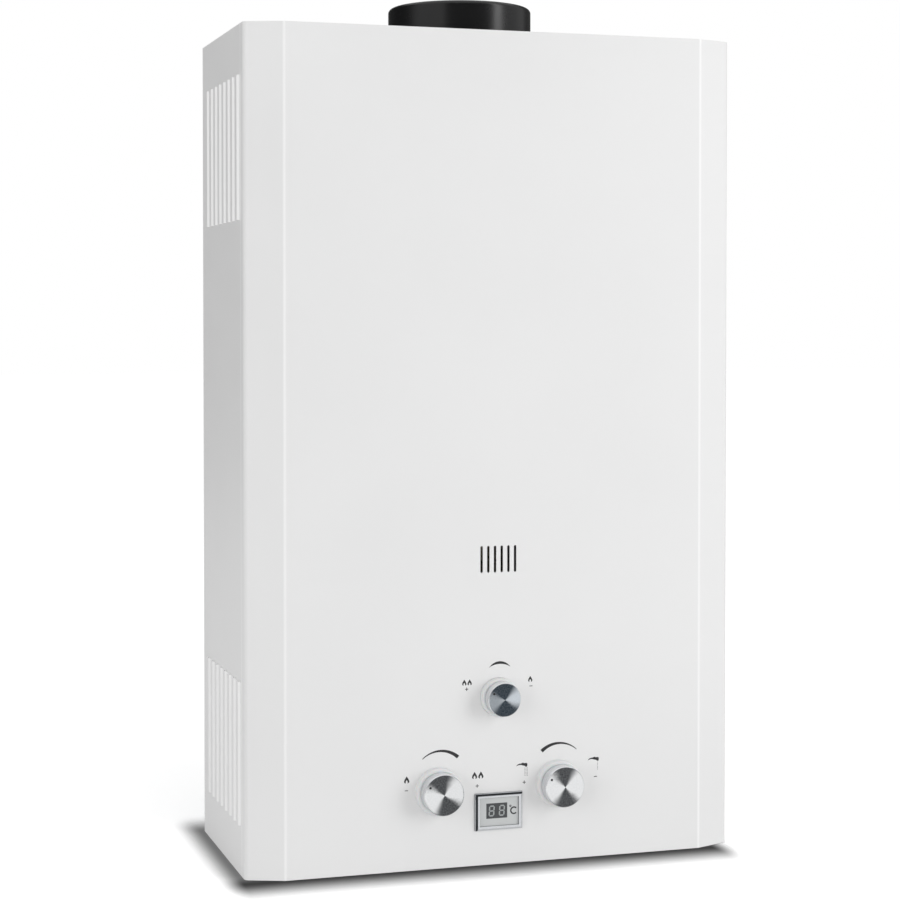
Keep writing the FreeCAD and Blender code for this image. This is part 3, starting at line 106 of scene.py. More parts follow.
# %% A socket that can be reckoned with
class Signal:
    """A socket of a finish; an operator on it adds a Math node."""

    def __init__(self, finish, socket):
        self.finish = finish
        self.socket = socket

    def math(self, operation, *others):
        return self.finish.add("ShaderNodeMath", {"operation": operation}, dict(enumerate((self, *others))))

    def __add__(self, other):
        return self.math("ADD", other)

    __radd__ = __add__

    def __sub__(self, other):
        return self.math("SUBTRACT", other)

    def __rsub__(self, other):
        return self.finish.add("ShaderNodeMath", {"operation": "SUBTRACT"}, {0: other, 1: self})

    def __mul__(self, other):
        return self.math("MULTIPLY", other)

    __rmul__ = __mul__

    def __truediv__(self, other):
        return self.math("DIVIDE", other)

    def __neg__(self):
        return self.math("MULTIPLY", -1.0)

    def sine(self):
        return self.math("SINE")

    def above(self, level, softness):
        """0 below the level and 1 above it, with a soft step between."""
        return self.finish.add("ShaderNodeMapRange", {"interpolation_type": "SMOOTHSTEP"}, {
            "Value": self, "From Min": level - softness, "From Max": level + softness})


# %% Nodes, and a finish made of them
class Network:
    """A tree of nodes that is being wired: of a material, or of the world."""

    def __init__(self, tree):
        self.tree = tree

    def put(self, socket, value):
        if isinstance(value, Signal):
            self.tree.links.new(value.socket, socket)
        else:
            socket.default_value = value

    def add(self, kind, settings=None, sockets=None, output=0):
        """Add a node: its settings first, then its sockets by name or number."""
        node = self.tree.nodes.new(kind)
        for setting, value in (settings or {}).items():
            setattr(node, setting, value)
        for key, value in (sockets or {}).items():
            self.put(node.inputs[key], value)
        return Signal(self, node.outputs[output])

    def blend(self, factor, first, second):
        """A colour between two, by a factor."""
        return self.add("ShaderNodeMix", {"data_type": "RGBA"}, {0: factor, 6: first, 7: second}, output=2)


class Finish(Network):
    """A material being made: its Principled shader and the nodes that feed it."""

    def __init__(self, name, **constants):
        self.material = bpy.data.materials.new(name)
        self.material.use_nodes = True
        super().__init__(self.material.node_tree)
        self.shader = self.tree.nodes["Principled BSDF"]
        self.output = self.tree.nodes["Material Output"]
        for socket, value in constants.items():
            self.shader.inputs[socket.replace("_", " ")].default_value = value

    def place(self):
        """Where a point is on the heater, in metres, at rest."""
        return self.add("ShaderNodeTexCoord", output=3)

    def along(self, axis):
        return self.add("ShaderNodeSeparateXYZ", sockets={0: self.place()}, output="XYZ".index(axis))

    def grain(self, size, detail=2.0, stretch=None):
        """Soft random grain; size is the width of one grain in metres."""
        where = self.place()
        if stretch:
            where = self.add("ShaderNodeVectorMath", {"operation": "MULTIPLY"}, {0: where, 1: stretch})
        return self.add("ShaderNodeTexNoise", sockets={"Vector": where, "Scale": 1 / size, "Detail": detail})

    def cells(self, size):
        """A random value for each cell of a crystal pattern."""
        colour = self.add("ShaderNodeTexVoronoi", sockets={"Vector": self.place(), "Scale": 1 / size}, output=1)
        return self.add("ShaderNodeSeparateColor", sockets={0: colour})

    def relief(self, height, depth, strength=1.0):
        """Drive the normal with a height; depth is its real height in metres."""
        bump = self.add("ShaderNodeBump", sockets={"Height": height, "Distance": depth, "Strength": strength})
        self.put(self.shader.inputs["Normal"], bump)

    def colour(self, value):
        self.put(self.shader.inputs["Base Color"], value)

    def roughness(self, value):
        self.put(self.shader.inputs["Roughness"], value)


def shade(red, green, blue):
    """A colour as a paint card gives it, 0 to 255, turned to the linear values that shaders use."""
    def linear(value):
        value /= 255
        return value / 12.92 if value <= 0.04045 else ((value + 0.055) / 1.055) ** 2.4
    return (linear(red), linear(green), linear(blue), 1.0)


print("white paint in linear values:", [round(v, 3) for v in shade(236, 237, 238)[:3]])

# %% [markdown]
# ## Painted and plated sheet
#
# Stove enamel on sheet is nearly flat, but it has a faint orange peel with grains of about a millimetre, and the
# gloss changes a little across a panel. That is a shallow bump and a narrow range of roughness: a deeper bump would
# look like plaster. Along each fold, and on the ramps of the louvres, the paint catches the light as a bright line;
# a lighter tone is painted there, by place and by the way the surface faces. Galvanised sheet has spangle, crystals
# several millimetres wide that each reflect a little differently, so a cell pattern drives its colour and roughness.

# %% Sheet finishes
FRONT_FOLD, SIDE_FOLD, FOLD_WIDTH, SIDE = 154.5 * MM, -51.5 * MM, 0.8 * MM, 181 * MM
FOLD_SHINE, RAMP_SHINE = 0.75, 0.95


def white_paint():
    finish = Finish("white_paint")
    tone = finish.grain(0.12, detail=1.0)
    across, depth = finish.along("X").math("ABSOLUTE"), finish.along("Y")
    front_fold = 1 - (across - FRONT_FOLD).math("ABSOLUTE").above(FOLD_WIDTH, FOLD_WIDTH)
    side_fold = 1 - (depth - SIDE_FOLD).math("ABSOLUTE").above(FOLD_WIDTH, FOLD_WIDTH)
    on_cover = 1 - depth.above(SIDE_FOLD + 2 * MM, MM)
    fold = front_fold.math("MAXIMUM", side_fold) * on_cover
    facing = finish.add("ShaderNodeNewGeometry", output="Normal")
    ahead, upward = (finish.add("ShaderNodeSeparateXYZ", sockets={0: facing}, output=axis) for axis in (1, 2))
    ramp = (upward - ahead).above(0.3, 0.1) * across.above(SIDE + 0.25 * MM, 0.15 * MM)
    skin = finish.blend(tone, shade(239, 239, 239), shade(234, 234, 234))
    finish.colour(finish.blend(fold * FOLD_SHINE + ramp * RAMP_SHINE, skin, shade(253, 253, 253)))
    finish.roughness(0.38 + finish.grain(0.03) * 0.08)
    finish.relief(finish.grain(0.0013), 0.00002, 0.5)
    return finish.material


def galvanised_sheet():
    finish = Finish("galvanised_sheet", Metallic=0.85)
    crystal = finish.cells(0.006)
    cloud = finish.grain(0.04)
    finish.colour(finish.blend(crystal * 0.7 + cloud * 0.3, shade(158, 163, 168), shade(196, 200, 203)))
    finish.roughness(0.32 + crystal * 0.18)
    finish.relief(crystal, 0.00003, 0.4)
    return finish.material


def black_enamel():
    finish = Finish("black_enamel")
    finish.colour(finish.blend(finish.grain(0.02), shade(13, 13, 14), shade(20, 20, 21)))
    finish.roughness(0.22 + finish.grain(0.008) * 0.08)
    finish.relief(finish.grain(0.0009), 0.00002, 0.5)
    return finish.material


print("folds painted at", round(FRONT_FOLD / MM, 1), "and", round(SIDE_FOLD / MM, 1), "mm")

# %% [markdown]
# ## Bare metals
#
# The pieces inside are bare metal, and each has its own history: copper goes brown where it has been hot, a burner
# bar shows straw and blue heat tints near its ports, a casting keeps the grain of its die and turned brass keeps fine
# rings. One function would make them all alike, so each has its own, with a grain of the right size.

# %% Metal finishes
def copper():
    finish = Finish("copper", Metallic=1.0)
    brown = finish.grain(0.018, detail=4.0).above(0.55, 0.12)
    finish.colour(finish.blend(brown, shade(204, 132, 98), shade(142, 88, 66)))
    finish.roughness(0.28 + brown * 0.22)
    finish.relief(finish.grain(0.004), 0.00004, 0.4)
    return finish.material


def burner_steel():
    finish = Finish("burner_steel", Metallic=1.0)
    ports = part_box("burner_bars")[1].z
    near_ports = finish.along("Z").above(ports - 0.006, 0.006)
    tint = finish.blend(finish.grain(0.010), shade(160, 128, 84), shade(92, 98, 128))
    finish.colour(finish.blend(near_ports * 0.8, shade(168, 168, 166), tint))
    finish.roughness(0.30 + finish.grain(0.002) * 0.20)
    finish.relief(finish.grain(0.0008, stretch=(1, 0.1, 1)), 0.00002, 0.5)
    return finish.material


def cast_aluminium():
    finish = Finish("cast_aluminium", Metallic=0.9)
    skin = finish.grain(0.0011, detail=3.0)
    finish.colour(finish.blend(finish.grain(0.012), shade(150, 153, 156), shade(178, 181, 184)))
    finish.roughness(0.42 + skin * 0.2)
    finish.relief(skin, 0.00008, 0.6)
    return finish.material


def brass():
    finish = Finish("brass", Metallic=1.0)
    dull = finish.grain(0.006, detail=3.0)
    finish.colour(finish.blend(dull, shade(214, 178, 108), shade(176, 138, 78)))
    finish.roughness(0.22 + dull * 0.22)
    finish.relief(finish.grain(0.0006, stretch=(1, 1, 4)), 0.00002, 0.5)
    return finish.material


def zinc_steel():
    finish = Finish("zinc_steel", Metallic=1.0)
    cloud = finish.grain(0.004, detail=3.0)
    finish.colour(finish.blend(cloud, shade(184, 188, 194), shade(206, 208, 206)))
    finish.roughness(0.24 + cloud * 0.18)
    finish.relief(finish.grain(0.0007), 0.00002, 0.5)
    return finish.material


# %% [markdown]
# ## A turned knob face
#
# The knobs' faces are turned on a lathe. The tool leaves fine rings, and rings throw light into two bright and two
# dark wedges that meet at the middle. A smooth metal can't show that in plain surroundings, so the wedges are painted
# reflections in the face's colour: the angle round the knob's own centre picks the tone, with soft edges, and the
# rings are a bump that follows the distance from the centre. On the season knob the left half of the wedges is also
# painted darker, as painted shade. The sides stay plain plated metal.

# %% Knob finish
def turned_metal(name, place, bright_at, level, dark, bright, painted_shade_left=0.0):
    """Painted reflections: wedges brightest at the given angle, in degrees, and opposite it; a higher level narrows
    them.
    """
    finish = Finish(f"turned_metal_{name}", Metallic=1.0)
    across = finish.along("X") - place.middle.x
    upward = finish.along("Z") - place.middle.z
    angle = upward.math("ARCTAN2", across)
    from_centre = (across * across + upward * upward).math("SQRT")
    streak = finish.grain(0.0011, detail=3.0, stretch=(1, 0, 1))
    wobble = finish.grain(0.010, detail=2.0) * 0.9 + streak * 0.3
    # Painted reflection: bright and dark wedges by the angle round the knob's centre, with painted shade darkening the
    # left half by the given share.
    swing = ((angle - math.radians(bright_at)) * 2 + wobble - 0.6).math("COSINE")
    left = 1 - (across / place.radius).above(0.0, 0.5)
    wedge = swing.above(level, 0.62) * 0.88 * (1 - left * painted_shade_left) + (streak - 0.5) * 0.22 + 0.06
    face_depth = place.low.y + 0.5 * MM
    on_face = 1 - finish.along("Y").above(face_depth, 0.2 * MM)
    side = finish.blend(finish.grain(0.005), shade(214, 216, 219), shade(236, 237, 239))
    face = finish.blend(wedge, dark, bright)
    finish.colour(finish.blend(on_face, side, face))
    finish.roughness(0.12 + on_face * 0.16 + streak * 0.06)
    rings = (from_centre * (2 * math.pi / (0.45 * MM))).sine()
    finish.relief(rings * on_face, 0.00001, 0.6)
    return finish.material


# %% [markdown]
# ## Plastics, glass and small parts
#
# The rings are milky plastic, the display's window is a light grey one over a dark digit panel, and the parts inside
# are black or grey mouldings with a fine spark-eroded grain. The viewing window is mica, which is clear with amber
# flakes. The plated frame round the display is smooth, with only a trace of the mould's grain; the dark strips along
# its left and top bars are painted reflections.

# %% Plastic and glass finishes
def moulded(name, first, second, rough, grain=0.0008, depth=0.00003, **constants):
    """A moulding: two close tones, a fine grain and a roughness that follows it."""
    finish = Finish(name, **constants)
    skin = finish.grain(grain, detail=3.0)
    finish.colour(finish.blend(finish.grain(grain * 25), first, second))
    finish.roughness(rough + skin * 0.12)
    finish.relief(skin, depth, 0.5)
    return finish.material


def rubber():
    return moulded("rubber", shade(38, 38, 38), shade(50, 49, 48), 0.7, grain=0.0012)


def black_plastic():
    return moulded("black_plastic", shade(34, 34, 36), shade(44, 44, 46), 0.42)


def white_plastic():
    return moulded("white_plastic", shade(234, 235, 235), shade(226, 227, 227), 0.34, depth=0.00001,
                   Subsurface_Weight=0.15, Subsurface_Scale=0.002)


def grey_plastic():
    return moulded("grey_plastic", shade(128, 131, 133), shade(142, 145, 147), 0.40)


def ceramic():
    return moulded("ceramic", shade(236, 231, 218), shade(224, 217, 200), 0.14, grain=0.002)


def lead_sleeve():
    return moulded("lead_sleeve", shade(176, 44, 36), shade(152, 34, 30), 0.38, grain=0.0015)


def display_board():
    return moulded("display_board", shade(40, 46, 44), shade(52, 58, 56), 0.30)


def chrome():
    """Bright plate with a dark strip along its left and top bars, painted as the reflection of a dark room."""
    finish = Finish("chrome", Metallic=1.0)
    frame_place = Place("display_frame")
    from_left = finish.along("X") - frame_place.low.x
    from_top = frame_place.high.z - finish.along("Z")
    inward = from_left.math("MINIMUM", from_top) / MM
    # Painted reflection: a dark strip just inside the left and top edges, and a darker flank at the very edge.
    strip = inward.above(0.35, 0.12) * (1 - inward.above(1.75, 0.25))
    flank = 1 - inward.above(0.12, 0.05)
    skin = finish.grain(0.0009, detail=3.0)
    plated = finish.blend(flank, shade(212, 214, 217), shade(104, 106, 110))
    finish.colour(finish.blend(strip, plated, shade(48, 50, 53)))
    finish.roughness(0.10 + skin * 0.08)
    finish.relief(skin, 0.00001, 0.4)
    return finish.material


def display_window():
    return moulded("display_window", shade(196, 199, 199), shade(205, 207, 207), 0.10, depth=0.00001)


def mica_glass():
    finish = Finish("mica_glass", Transmission_Weight=0.7, IOR=1.58)
    flakes = finish.cells(0.004)
    finish.colour(finish.blend(flakes * 0.6, shade(246, 238, 214), shade(214, 182, 124)))
    finish.roughness(0.06 + flakes * 0.12)
    finish.relief(flakes, 0.00002, 0.4)
    return finish.material


def cell_jacket():
    """A battery's plain wrap, with a bare metal band at the top end."""
    finish = Finish("cell_jacket", Metallic=0.6)
    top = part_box("battery_cells")[1].z
    band = finish.along("Z").above(top - 0.012, 0.0003)
    wrap = finish.blend(finish.grain(0.010), shade(34, 44, 66), shade(44, 54, 78))
    finish.colour(finish.blend(band, wrap, shade(196, 172, 120)))
    finish.roughness(0.26 + finish.grain(0.002) * 0.1)
    finish.relief(finish.grain(0.003), 0.00002, 0.4)
    return finish.material


def print_ink():
    return moulded("print_ink", shade(34, 34, 36), shade(44, 44, 46), 0.42, grain=0.0004, depth=0.00001)


def digit_grey():
    return moulded("digit_grey", shade(158, 162, 162), shade(170, 174, 174), 0.30, grain=0.0004, depth=0.00001)


def digit_field():
    return moulded("digit_field", shade(62, 64, 66), shade(72, 74, 76), 0.30, grain=0.0004, depth=0.00001)


# %% Make every finish and give it to the solids of its slot
SLOT_FINISHES = (white_paint, galvanised_sheet, black_enamel, copper, burner_steel, cast_aluminium, brass, zinc_steel,
                 mica_glass, rubber, black_plastic, white_plastic, chrome, display_window, display_board,
                 grey_plastic, cell_jacket, ceramic, lead_sleeve)
finishes = {make.__name__: make() for make in SLOT_FINISHES}
finishes.update({make.__name__: make() for make in (print_ink, digit_grey, digit_field)})
# Tones of the knob faces' painted reflections; the season knob's tones are darker and bluer.
DARK_REFLECTION, BRIGHT_REFLECTION = shade(58, 60, 63), shade(243, 244, 245)
finishes["season_face"] = turned_metal("season", knobs["season"], 8, 0.35, shade(38, 50, 60), shade(214, 221, 227),
                                       painted_shade_left=0.5)
finishes["gas_face"] = turned_metal("gas", knobs["gas"], 18, 0.0, DARK_REFLECTION, BRIGHT_REFLECTION)
finishes["water_face"] = turned_metal("water", knobs["water"], 3, -0.18, DARK_REFLECTION, BRIGHT_REFLECTION)

slot_of = {row["node"]: row["material_slot"] for row in frame["record"]["subparts"]}


def dress(thing, finish):
    thing.data.materials.clear()
    thing.data.materials.append(finishes[finish])


for node, slot in slot_of.items():
    if slot == "spun_metal":
        dress(nodes[node], node.replace("knob", "face"))
    else:
        dress(nodes[node], slot)
print(len(finishes), "finishes on", len(slot_of), "solids")

# %% [markdown]
# ## Building pieces in mesh code
#
# Three kinds of mesh are enough for the added pieces. A turned piece is a profile swept round an axis. A plate is a
# flat outline given a thickness, which suits the printed signs and the digits: ink and segments are real thin plates,
# so they catch light at their edges and never fight with the surface behind them. A thread is a turned piece whose
# profile also shifts along a helix as it goes round.

# %% Mesh helpers
FACINGS = {
    "front": (Vector((1, 0, 0)), Vector((0, 0, 1)), Vector((0, -1, 0))),
    "up": (Vector((1, 0, 0)), Vector((0, 1, 0)), Vector((0, 0, 1))),
    "down": (Vector((1, 0, 0)), Vector((0, -1, 0)), Vector((0, 0, -1))),
}


def plate(outline, thickness, at, facing="front"):
    """A flat outline of (across, up) points in millimetres, standing on the point at."""
    across, upward, outward = FACINGS[facing]
    count = len(outline)
    vertices = [at + (across * u + upward * v + outward * w) * MM
                for w in (0, thickness) for u, v in outline]
    rim = [(i, (i + 1) % count, count + (i + 1) % count, count + i) for i in range(count)]
    return vertices, [tuple(range(count)), tuple(range(count, 2 * count)), *rim]


def spun(profile_at, at, sides=96):
    """A closed profile of (radius, height) points turned round the Z axis; it may change with the share of a turn."""
    vertices, faces = [], []
    for index in range(sides):
        turn = 2 * math.pi * index / sides
        profile = profile_at(index / sides)
        vertices += [at + Vector((radius * math.cos(turn), radius * math.sin(turn), height)) * MM
                     for radius, height in profile]
    rows = len(profile)
    for index in range(sides):
        here, after = index * rows, (index + 1) % sides * rows
        faces += [(here + row, after + row, after + (row + 1) % rows, here + (row + 1) % rows)
                  for row in range(rows)]
    return vertices, faces


def joined(meshes):
    """Several meshes as one."""
    vertices, faces = [], []
    for more_vertices, more_faces in meshes:
        start = len(vertices)
        vertices += more_vertices
        faces += [tuple(start + i for i in face) for face in more_faces]
    return vertices, faces


def piece(name, shape, body, finish, replaces=None, sharp=35):
    """Make an object from vertices and faces that rides on a body."""
    mesh = bpy.data.meshes.new(name)
    mesh.from_pydata(*[[tuple(item) for item in group] for group in (shape[0], [], shape[1])])
    shaper = bmesh.new()
    shaper.from_mesh(mesh)
    bmesh.ops.recalc_face_normals(shaper, faces=shaper.faces)
    shaper.to_mesh(mesh)
    shaper.free()
    mesh.shade_smooth()
    mesh.set_sharp_from_angle(angle=math.radians(sharp))
    thing = bpy.data.objects.new(name, mesh)
    bpy.context.scene.collection.objects.link(thing)
    dress(thing, finish)
    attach(thing, body)
    if replaces:
        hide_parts(replaces)
    return thing


# %% [markdown]
# ## The pipe threads
#
# Under the case stand three half-inch pipe stubs, each with a collar that sits against the bottom panel. In the
# solids they are smooth at the thread's outer size, because that is what a nut is checked against. The look of a
# thread comes from its helix, so each stub is made again with real turns at 14 to the inch. Round the stub the
# profile's grooves move down by one pitch, and at both ends of the thread they fade out, as a die leaves them.

# %% Threaded stubs
PITCH, DEPTH = 25.4 / 14, 1.16
BORE, THREAD, COLLAR, COLLAR_HEIGHT = 7.0, 10.48, 15.0, 5.0
PANEL = 0.8
STEPS_PER_TURN = 8


def threaded_stub(node):
    low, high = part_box(node)
    at = Vector(((low.x + high.x) / 2, (low.y + high.y) / 2, low.z))
    seat = (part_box("lock_nuts")[0].z - low.z) / MM - PANEL
    shoulder = seat - COLLAR_HEIGHT
    top = (high.z - low.z) / MM
    steps = int(shoulder / PITCH * STEPS_PER_TURN)
    heights = [shoulder * step / steps for step in range(steps + 1)]

    def profile_at(share):
        def radius(height):
            groove = 1 - abs(2 * ((height / PITCH + share) % 1.0) - 1)
            fade = max(0.0, min(1.0, height / PITCH, (shoulder - height) / PITCH))
            return THREAD - DEPTH * groove * fade
        return [(BORE, 0), *((radius(height), height) for height in heights), (COLLAR, shoulder),
                (COLLAR, seat), (THREAD, seat), (THREAD, top), (BORE, top)]

    piece(f"threaded_{node}", spun(profile_at, at), "casing", "brass", node, sharp=50)
    return shoulder / PITCH


turns = [threaded_stub(node) for node in ("gas_inlet", "cold_inlet", "hot_outlet")]
print("three stubs with", round(turns[0], 1), "turns of thread each")

# %% [markdown]
# ## Soft rings round the knobs
#
# Each knob turns in a milky ring that is pushed into the panel. In the solids the ring is a plain tube with a little
# air round the knob. The real ring has a rounded outer edge and a flat soft lip that reaches almost to the knob, so
# no dark gap shows. A profile turned round the knob's axis gives that: a quarter circle of a few points, then the lip.

# %% Rings
RING_RISE, RING_WALL, RING_LIP, EDGE_STEPS = 6.0, {"season": 1.6, "gas": 2.3, "water": 2.3}, 0.04, 8
SPIGOT_OUT, SPIGOT_TAIL = 1.4, 3.0


def faced(vertices, at):
    """Turn a shape that stands on Z so that it stands on the front panel instead."""
    return [at + Vector((v.x, -v.z, v.y)) for v in vertices]


def soft_ring(name):
    place = knobs[name]
    knob_radius = place.radius / MM
    inner, outer = knob_radius + RING_LIP, knob_radius + RING_WALL[name]
    bend = 0.85 * (outer - inner)
    quarter = [math.pi / 2 * step / EDGE_STEPS for step in range(EDGE_STEPS + 1)]
    edge = [(outer - bend + bend * math.cos(turn), RING_RISE - bend + bend * math.sin(turn)) for turn in quarter]
    spigot = knob_radius + SPIGOT_OUT
    profile = [(knob_radius + 0.4, 0.3), (knob_radius + 0.4, -SPIGOT_TAIL), (spigot, -SPIGOT_TAIL), (spigot, 0),
               (outer, 0), *edge, (inner, RING_RISE), (inner, RING_RISE - bend)]
    vertices, faces = spun(lambda share: profile, Vector((0, 0, 0)))
    at = Vector((place.middle.x, front, place.middle.z))
    piece(f"ring_{name}", (faced(vertices, at), faces), "casing", "white_plastic", f"{name}_bezel",
          sharp=60)
    return outer


print("rings of radius", [round(soft_ring(name), 1) for name in knobs], "mm")

# %% [markdown]
# ## Cross recesses in the screw heads
#
# A screw head without its recess looks like a rivet. The solids keep plain heads, so the recesses are cut here: one
# cross-shaped plate is sunk into each head, and a Boolean modifier takes them all out of a copy of the screws. The
# modifier is applied at once, so that only a plain mesh is left. Each screw's head is found from its own island of
# the mesh, and it points away from the case's middle.

# %% Screws with a cross recess
def islands(mesh):
    """The box of each separate screw in the mesh."""
    shaper = bmesh.new()
    shaper.from_mesh(mesh)
    waiting, boxes = set(shaper.verts), []
    while waiting:
        group, edge = set(), {waiting.pop()}
        while edge:
            group |= edge
            edge = {e.other_vert(v) for v in edge for e in v.link_edges} - group
        waiting -= group
        axes = [[v.co[axis] for v in group] for axis in range(3)]
        boxes.append((Vector(map(min, axes)), Vector(map(max, axes))))
    shaper.free()
    return boxes


ARM, SLOT, SUNK = 2.1, 0.42, 1.1
CROSS = [(SLOT, SLOT), (ARM, SLOT), (ARM, -SLOT), (SLOT, -SLOT), (SLOT, -ARM), (-SLOT, -ARM),
         (-SLOT, -SLOT), (-ARM, -SLOT), (-ARM, SLOT), (-SLOT, SLOT), (-SLOT, ARM), (SLOT, ARM)]


def recess(low, high):
    middle = (low + high) / 2
    if high.z > solid_high.z * 0.9:
        return plate(CROSS, 2 * SUNK, Vector((middle.x, middle.y, high.z - SUNK * MM)), "up")
    if low.z < solid_high.z * 0.1:
        return plate(CROSS, 2 * SUNK, Vector((middle.x, middle.y, low.z + SUNK * MM)), "down")
    return plate(CROSS, 2 * SUNK, Vector((middle.x, low.y + SUNK * MM, middle.z)), "front")


def cut_screws():
    screws = nodes["screws"]
    copied = screws.data.copy()
    shaper = bmesh.new()
    shaper.from_mesh(copied)
    bmesh.ops.remove_doubles(shaper, verts=shaper.verts, dist=1e-7)
    shaper.to_mesh(copied)
    shaper.free()
    boxes = islands(copied)
    tool = piece("recess_tool", joined([recess(*box) for box in boxes]), "casing", "zinc_steel")
    blank = bpy.data.objects.new("screw_blank", copied)
    bpy.context.scene.collection.objects.link(blank)
    cutter = blank.modifiers.new("recess", "BOOLEAN")
    cutter.operation, cutter.object, cutter.solver = "DIFFERENCE", tool, "EXACT"
    bpy.context.view_layer.update()
    cut = bpy.data.meshes.new_from_object(blank.evaluated_get(bpy.context.evaluated_depsgraph_get()))
    shape = ([v.co.copy() for v in cut.vertices], [tuple(p.vertices) for p in cut.polygons])
    bpy.data.objects.remove(blank)
    bpy.data.objects.remove(tool)
    piece("cross_screws", shape, "casing", "zinc_steel", "screws")
    return len(boxes)


print(cut_screws(), "screws with a cross recess")

# %% [markdown]
# ## Signs printed on the case
#
# The signs round the knobs are screen printed: arcs that get thicker towards more flame or more water, small flames
# and taps. They could be masks in the paint's finish, but a mask this fine would need a very large baked picture to
# stay sharp. As plates three hundredths of a millimetre thick they are sharp from any distance. Each sign is an
# outline in millimetres, placed from the middle of its knob. Below each is a minus or a plus sign.

# %% Outlines of the signs
INK = 0.03


def swept_arc(radius, low_angle, high_angle, width_at, steps=40):
    """An arc whose thickness follows width_at, a function of the share of its length from the left."""
    outer, inner = [], []
    for step in range(steps + 1):
        share = step / steps
        angle = math.radians(high_angle + (low_angle - high_angle) * share)
        half = width_at(share) / 2
        outer.append(((radius + half) * math.cos(angle), (radius + half) * math.sin(angle)))
        inner.append(((radius - half) * math.cos(angle), (radius - half) * math.sin(angle)))
    return outer + inner[::-1]


def mirrored(right_side):
    """A symmetric outline from its right side, listed from the top down."""
    return right_side + [(-u, v) for u, v in right_side[::-1] if u]


def moved(outline, across, upward, size=1.0):
    return [(u * size + across, v * size + upward) for u, v in outline]


FLAME = mirrored([(0, 2.5), (0.5, 1.8), (1.05, 0.9), (1.6, -0.05), (1.9, -0.95), (1.85, -1.6), (1.5, -2.15),
                  (0.6, -2.45), (0.78, -1.75), (0.66, -1.1), (0.3, -0.45), (0, 0.0)])
TAP = [(-4.3, -0.75), (-3.6, 0.1), (-2.6, 0.75), (-1.4, 1.1), (-0.3, 1.15), (0.3, 1.5), (1.3, 1.65), (1.5, 1.25),
       (2.4, 1.3), (3.6, 1.35), (4.2, 1.0), (4.3, 0.2), (4.25, -0.9), (4.0, -1.35), (2.7, -1.35), (2.5, -0.8),
       (1.6, -0.55), (0.6, -0.3), (-0.6, 0.1), (-1.8, 0.1), (-3.0, -0.2)]


def rectangle(width, height, across, upward):
    return [(across + u * width / 2, upward + v * height / 2) for u, v in ((-1, -1), (1, -1), (1, 1), (-1, 1))]


def minus_sign(across, upward):
    return [rectangle(2.4, 0.5, across, upward)]


def plus_sign(across, upward):
    return [moved(CROSS, across, upward, 1.2 / ARM)]


def flames(count, across, upward, size=1.0):
    spread = 4.7 * size
    return [moved(FLAME, across + spread * (index - (count - 1) / 2), upward, size) for index in range(count)]


def tap(across, upward, columns, gap=0.95):
    """A tap with its stream: columns of short dashes under the outlet."""
    middle = across + 3.35
    stream = [rectangle(0.28, 0.62, middle + gap * (column - (columns - 1) / 2), upward - 2.3 - 1.05 * dash)
              for column in range(columns) for dash in range(6)]
    return [moved(TAP, across, upward), *stream]


# %% Print the signs
signs = {
    "season": [moved(swept_arc(11.2, 46, 134, lambda s: 0.1 + 1.8 * math.sin(math.pi * s)), 1.0, 13.0),
               *flames(2, -23.4, 11.2, 0.84), *plus_sign(-23.6, 6.5),
               *flames(1, 23.9, 11.4, 0.84), *minus_sign(24.4, 6.4)],
    "gas": [moved(swept_arc(19.4, 47.5, 132.5, lambda s: 0.5 + 2.1 * s), 1.7, 8.7),
            *flames(1, -22.9, 9.2), *minus_sign(-23.1, 1.6),
            *flames(2, 29.4, 9.2), *plus_sign(29.0, 1.6)],
    "water": [moved(swept_arc(19.6, 47.5, 132.5, lambda s: 2.6 - 2.1 * s), 1.0, 8.9),
              *tap(-27.3, 14.4, 3), *plus_sign(-25.4, 2.0),
              *tap(27.2, 15.3, 1), *minus_sign(28.9, 2.7)],
}
for name, outlines in signs.items():
    middle = knobs[name].middle
    at = Vector((middle.x, front, middle.z))
    piece(f"signs_{name}", joined([plate(outline, INK, at) for outline in outlines]), "casing", "print_ink")
    print(name, "knob:", len(outlines), "printed outlines")

# %% [markdown]
# ## The knobs' dots
#
# A turned knob shows its setting by one small dot near the rim. The solids have a dimple for it, and here the dimple
# gets its paint: a thin disc on its floor that turns with the knob.

# %% Dots on the knobs
DOT_RADIUS, DOT_ANGLE, DOT_INSET, DIMPLE = 0.85, 150, 2.7, 0.5


def disc(radius, sides=32):
    return [(radius * math.cos(2 * math.pi * i / sides), radius * math.sin(2 * math.pi * i / sides))
            for i in range(sides)]


for name, place in knobs.items():
    reach = place.radius - DOT_INSET * MM
    angle = math.radians(DOT_ANGLE)
    at = Vector((place.middle.x + reach * math.cos(angle), place.low.y + DIMPLE * MM,
                 place.middle.z + reach * math.sin(angle)))
    piece(f"dot_{name}", plate(disc(DOT_RADIUS), DIMPLE / 2, at), f"{name}_control", "print_ink")
print("three dots at", DOT_ANGLE, "degrees")

# %% [markdown]
# ## The temperature display
#
# Behind the plated frame lies a light grey window. Left of its middle is the dark panel of a two-digit display, and
# to its right stands the sign of the temperature unit. Each digit has seven segments. A segment is a bar with pointed
# ends, so that neighbours meet at a mitre, and all of them lean a little, as on real displays.

# %% Digits and unit
PANEL_WIDTH, PANEL_HEIGHT, PANEL_ACROSS, PANEL_UP = 15.6, 10.8, -1.6, 0.5
DIGIT_WIDTH, DIGIT_HEIGHT, BAR, LEAN, MITRE_GAP = 4.3, 7.8, 0.95, 0.07, 0.12
UNIT_ACROSS, UNIT_UP, UNIT_RADIUS, UNIT_STROKE = 11.2, -0.1, 2.3, 1.0


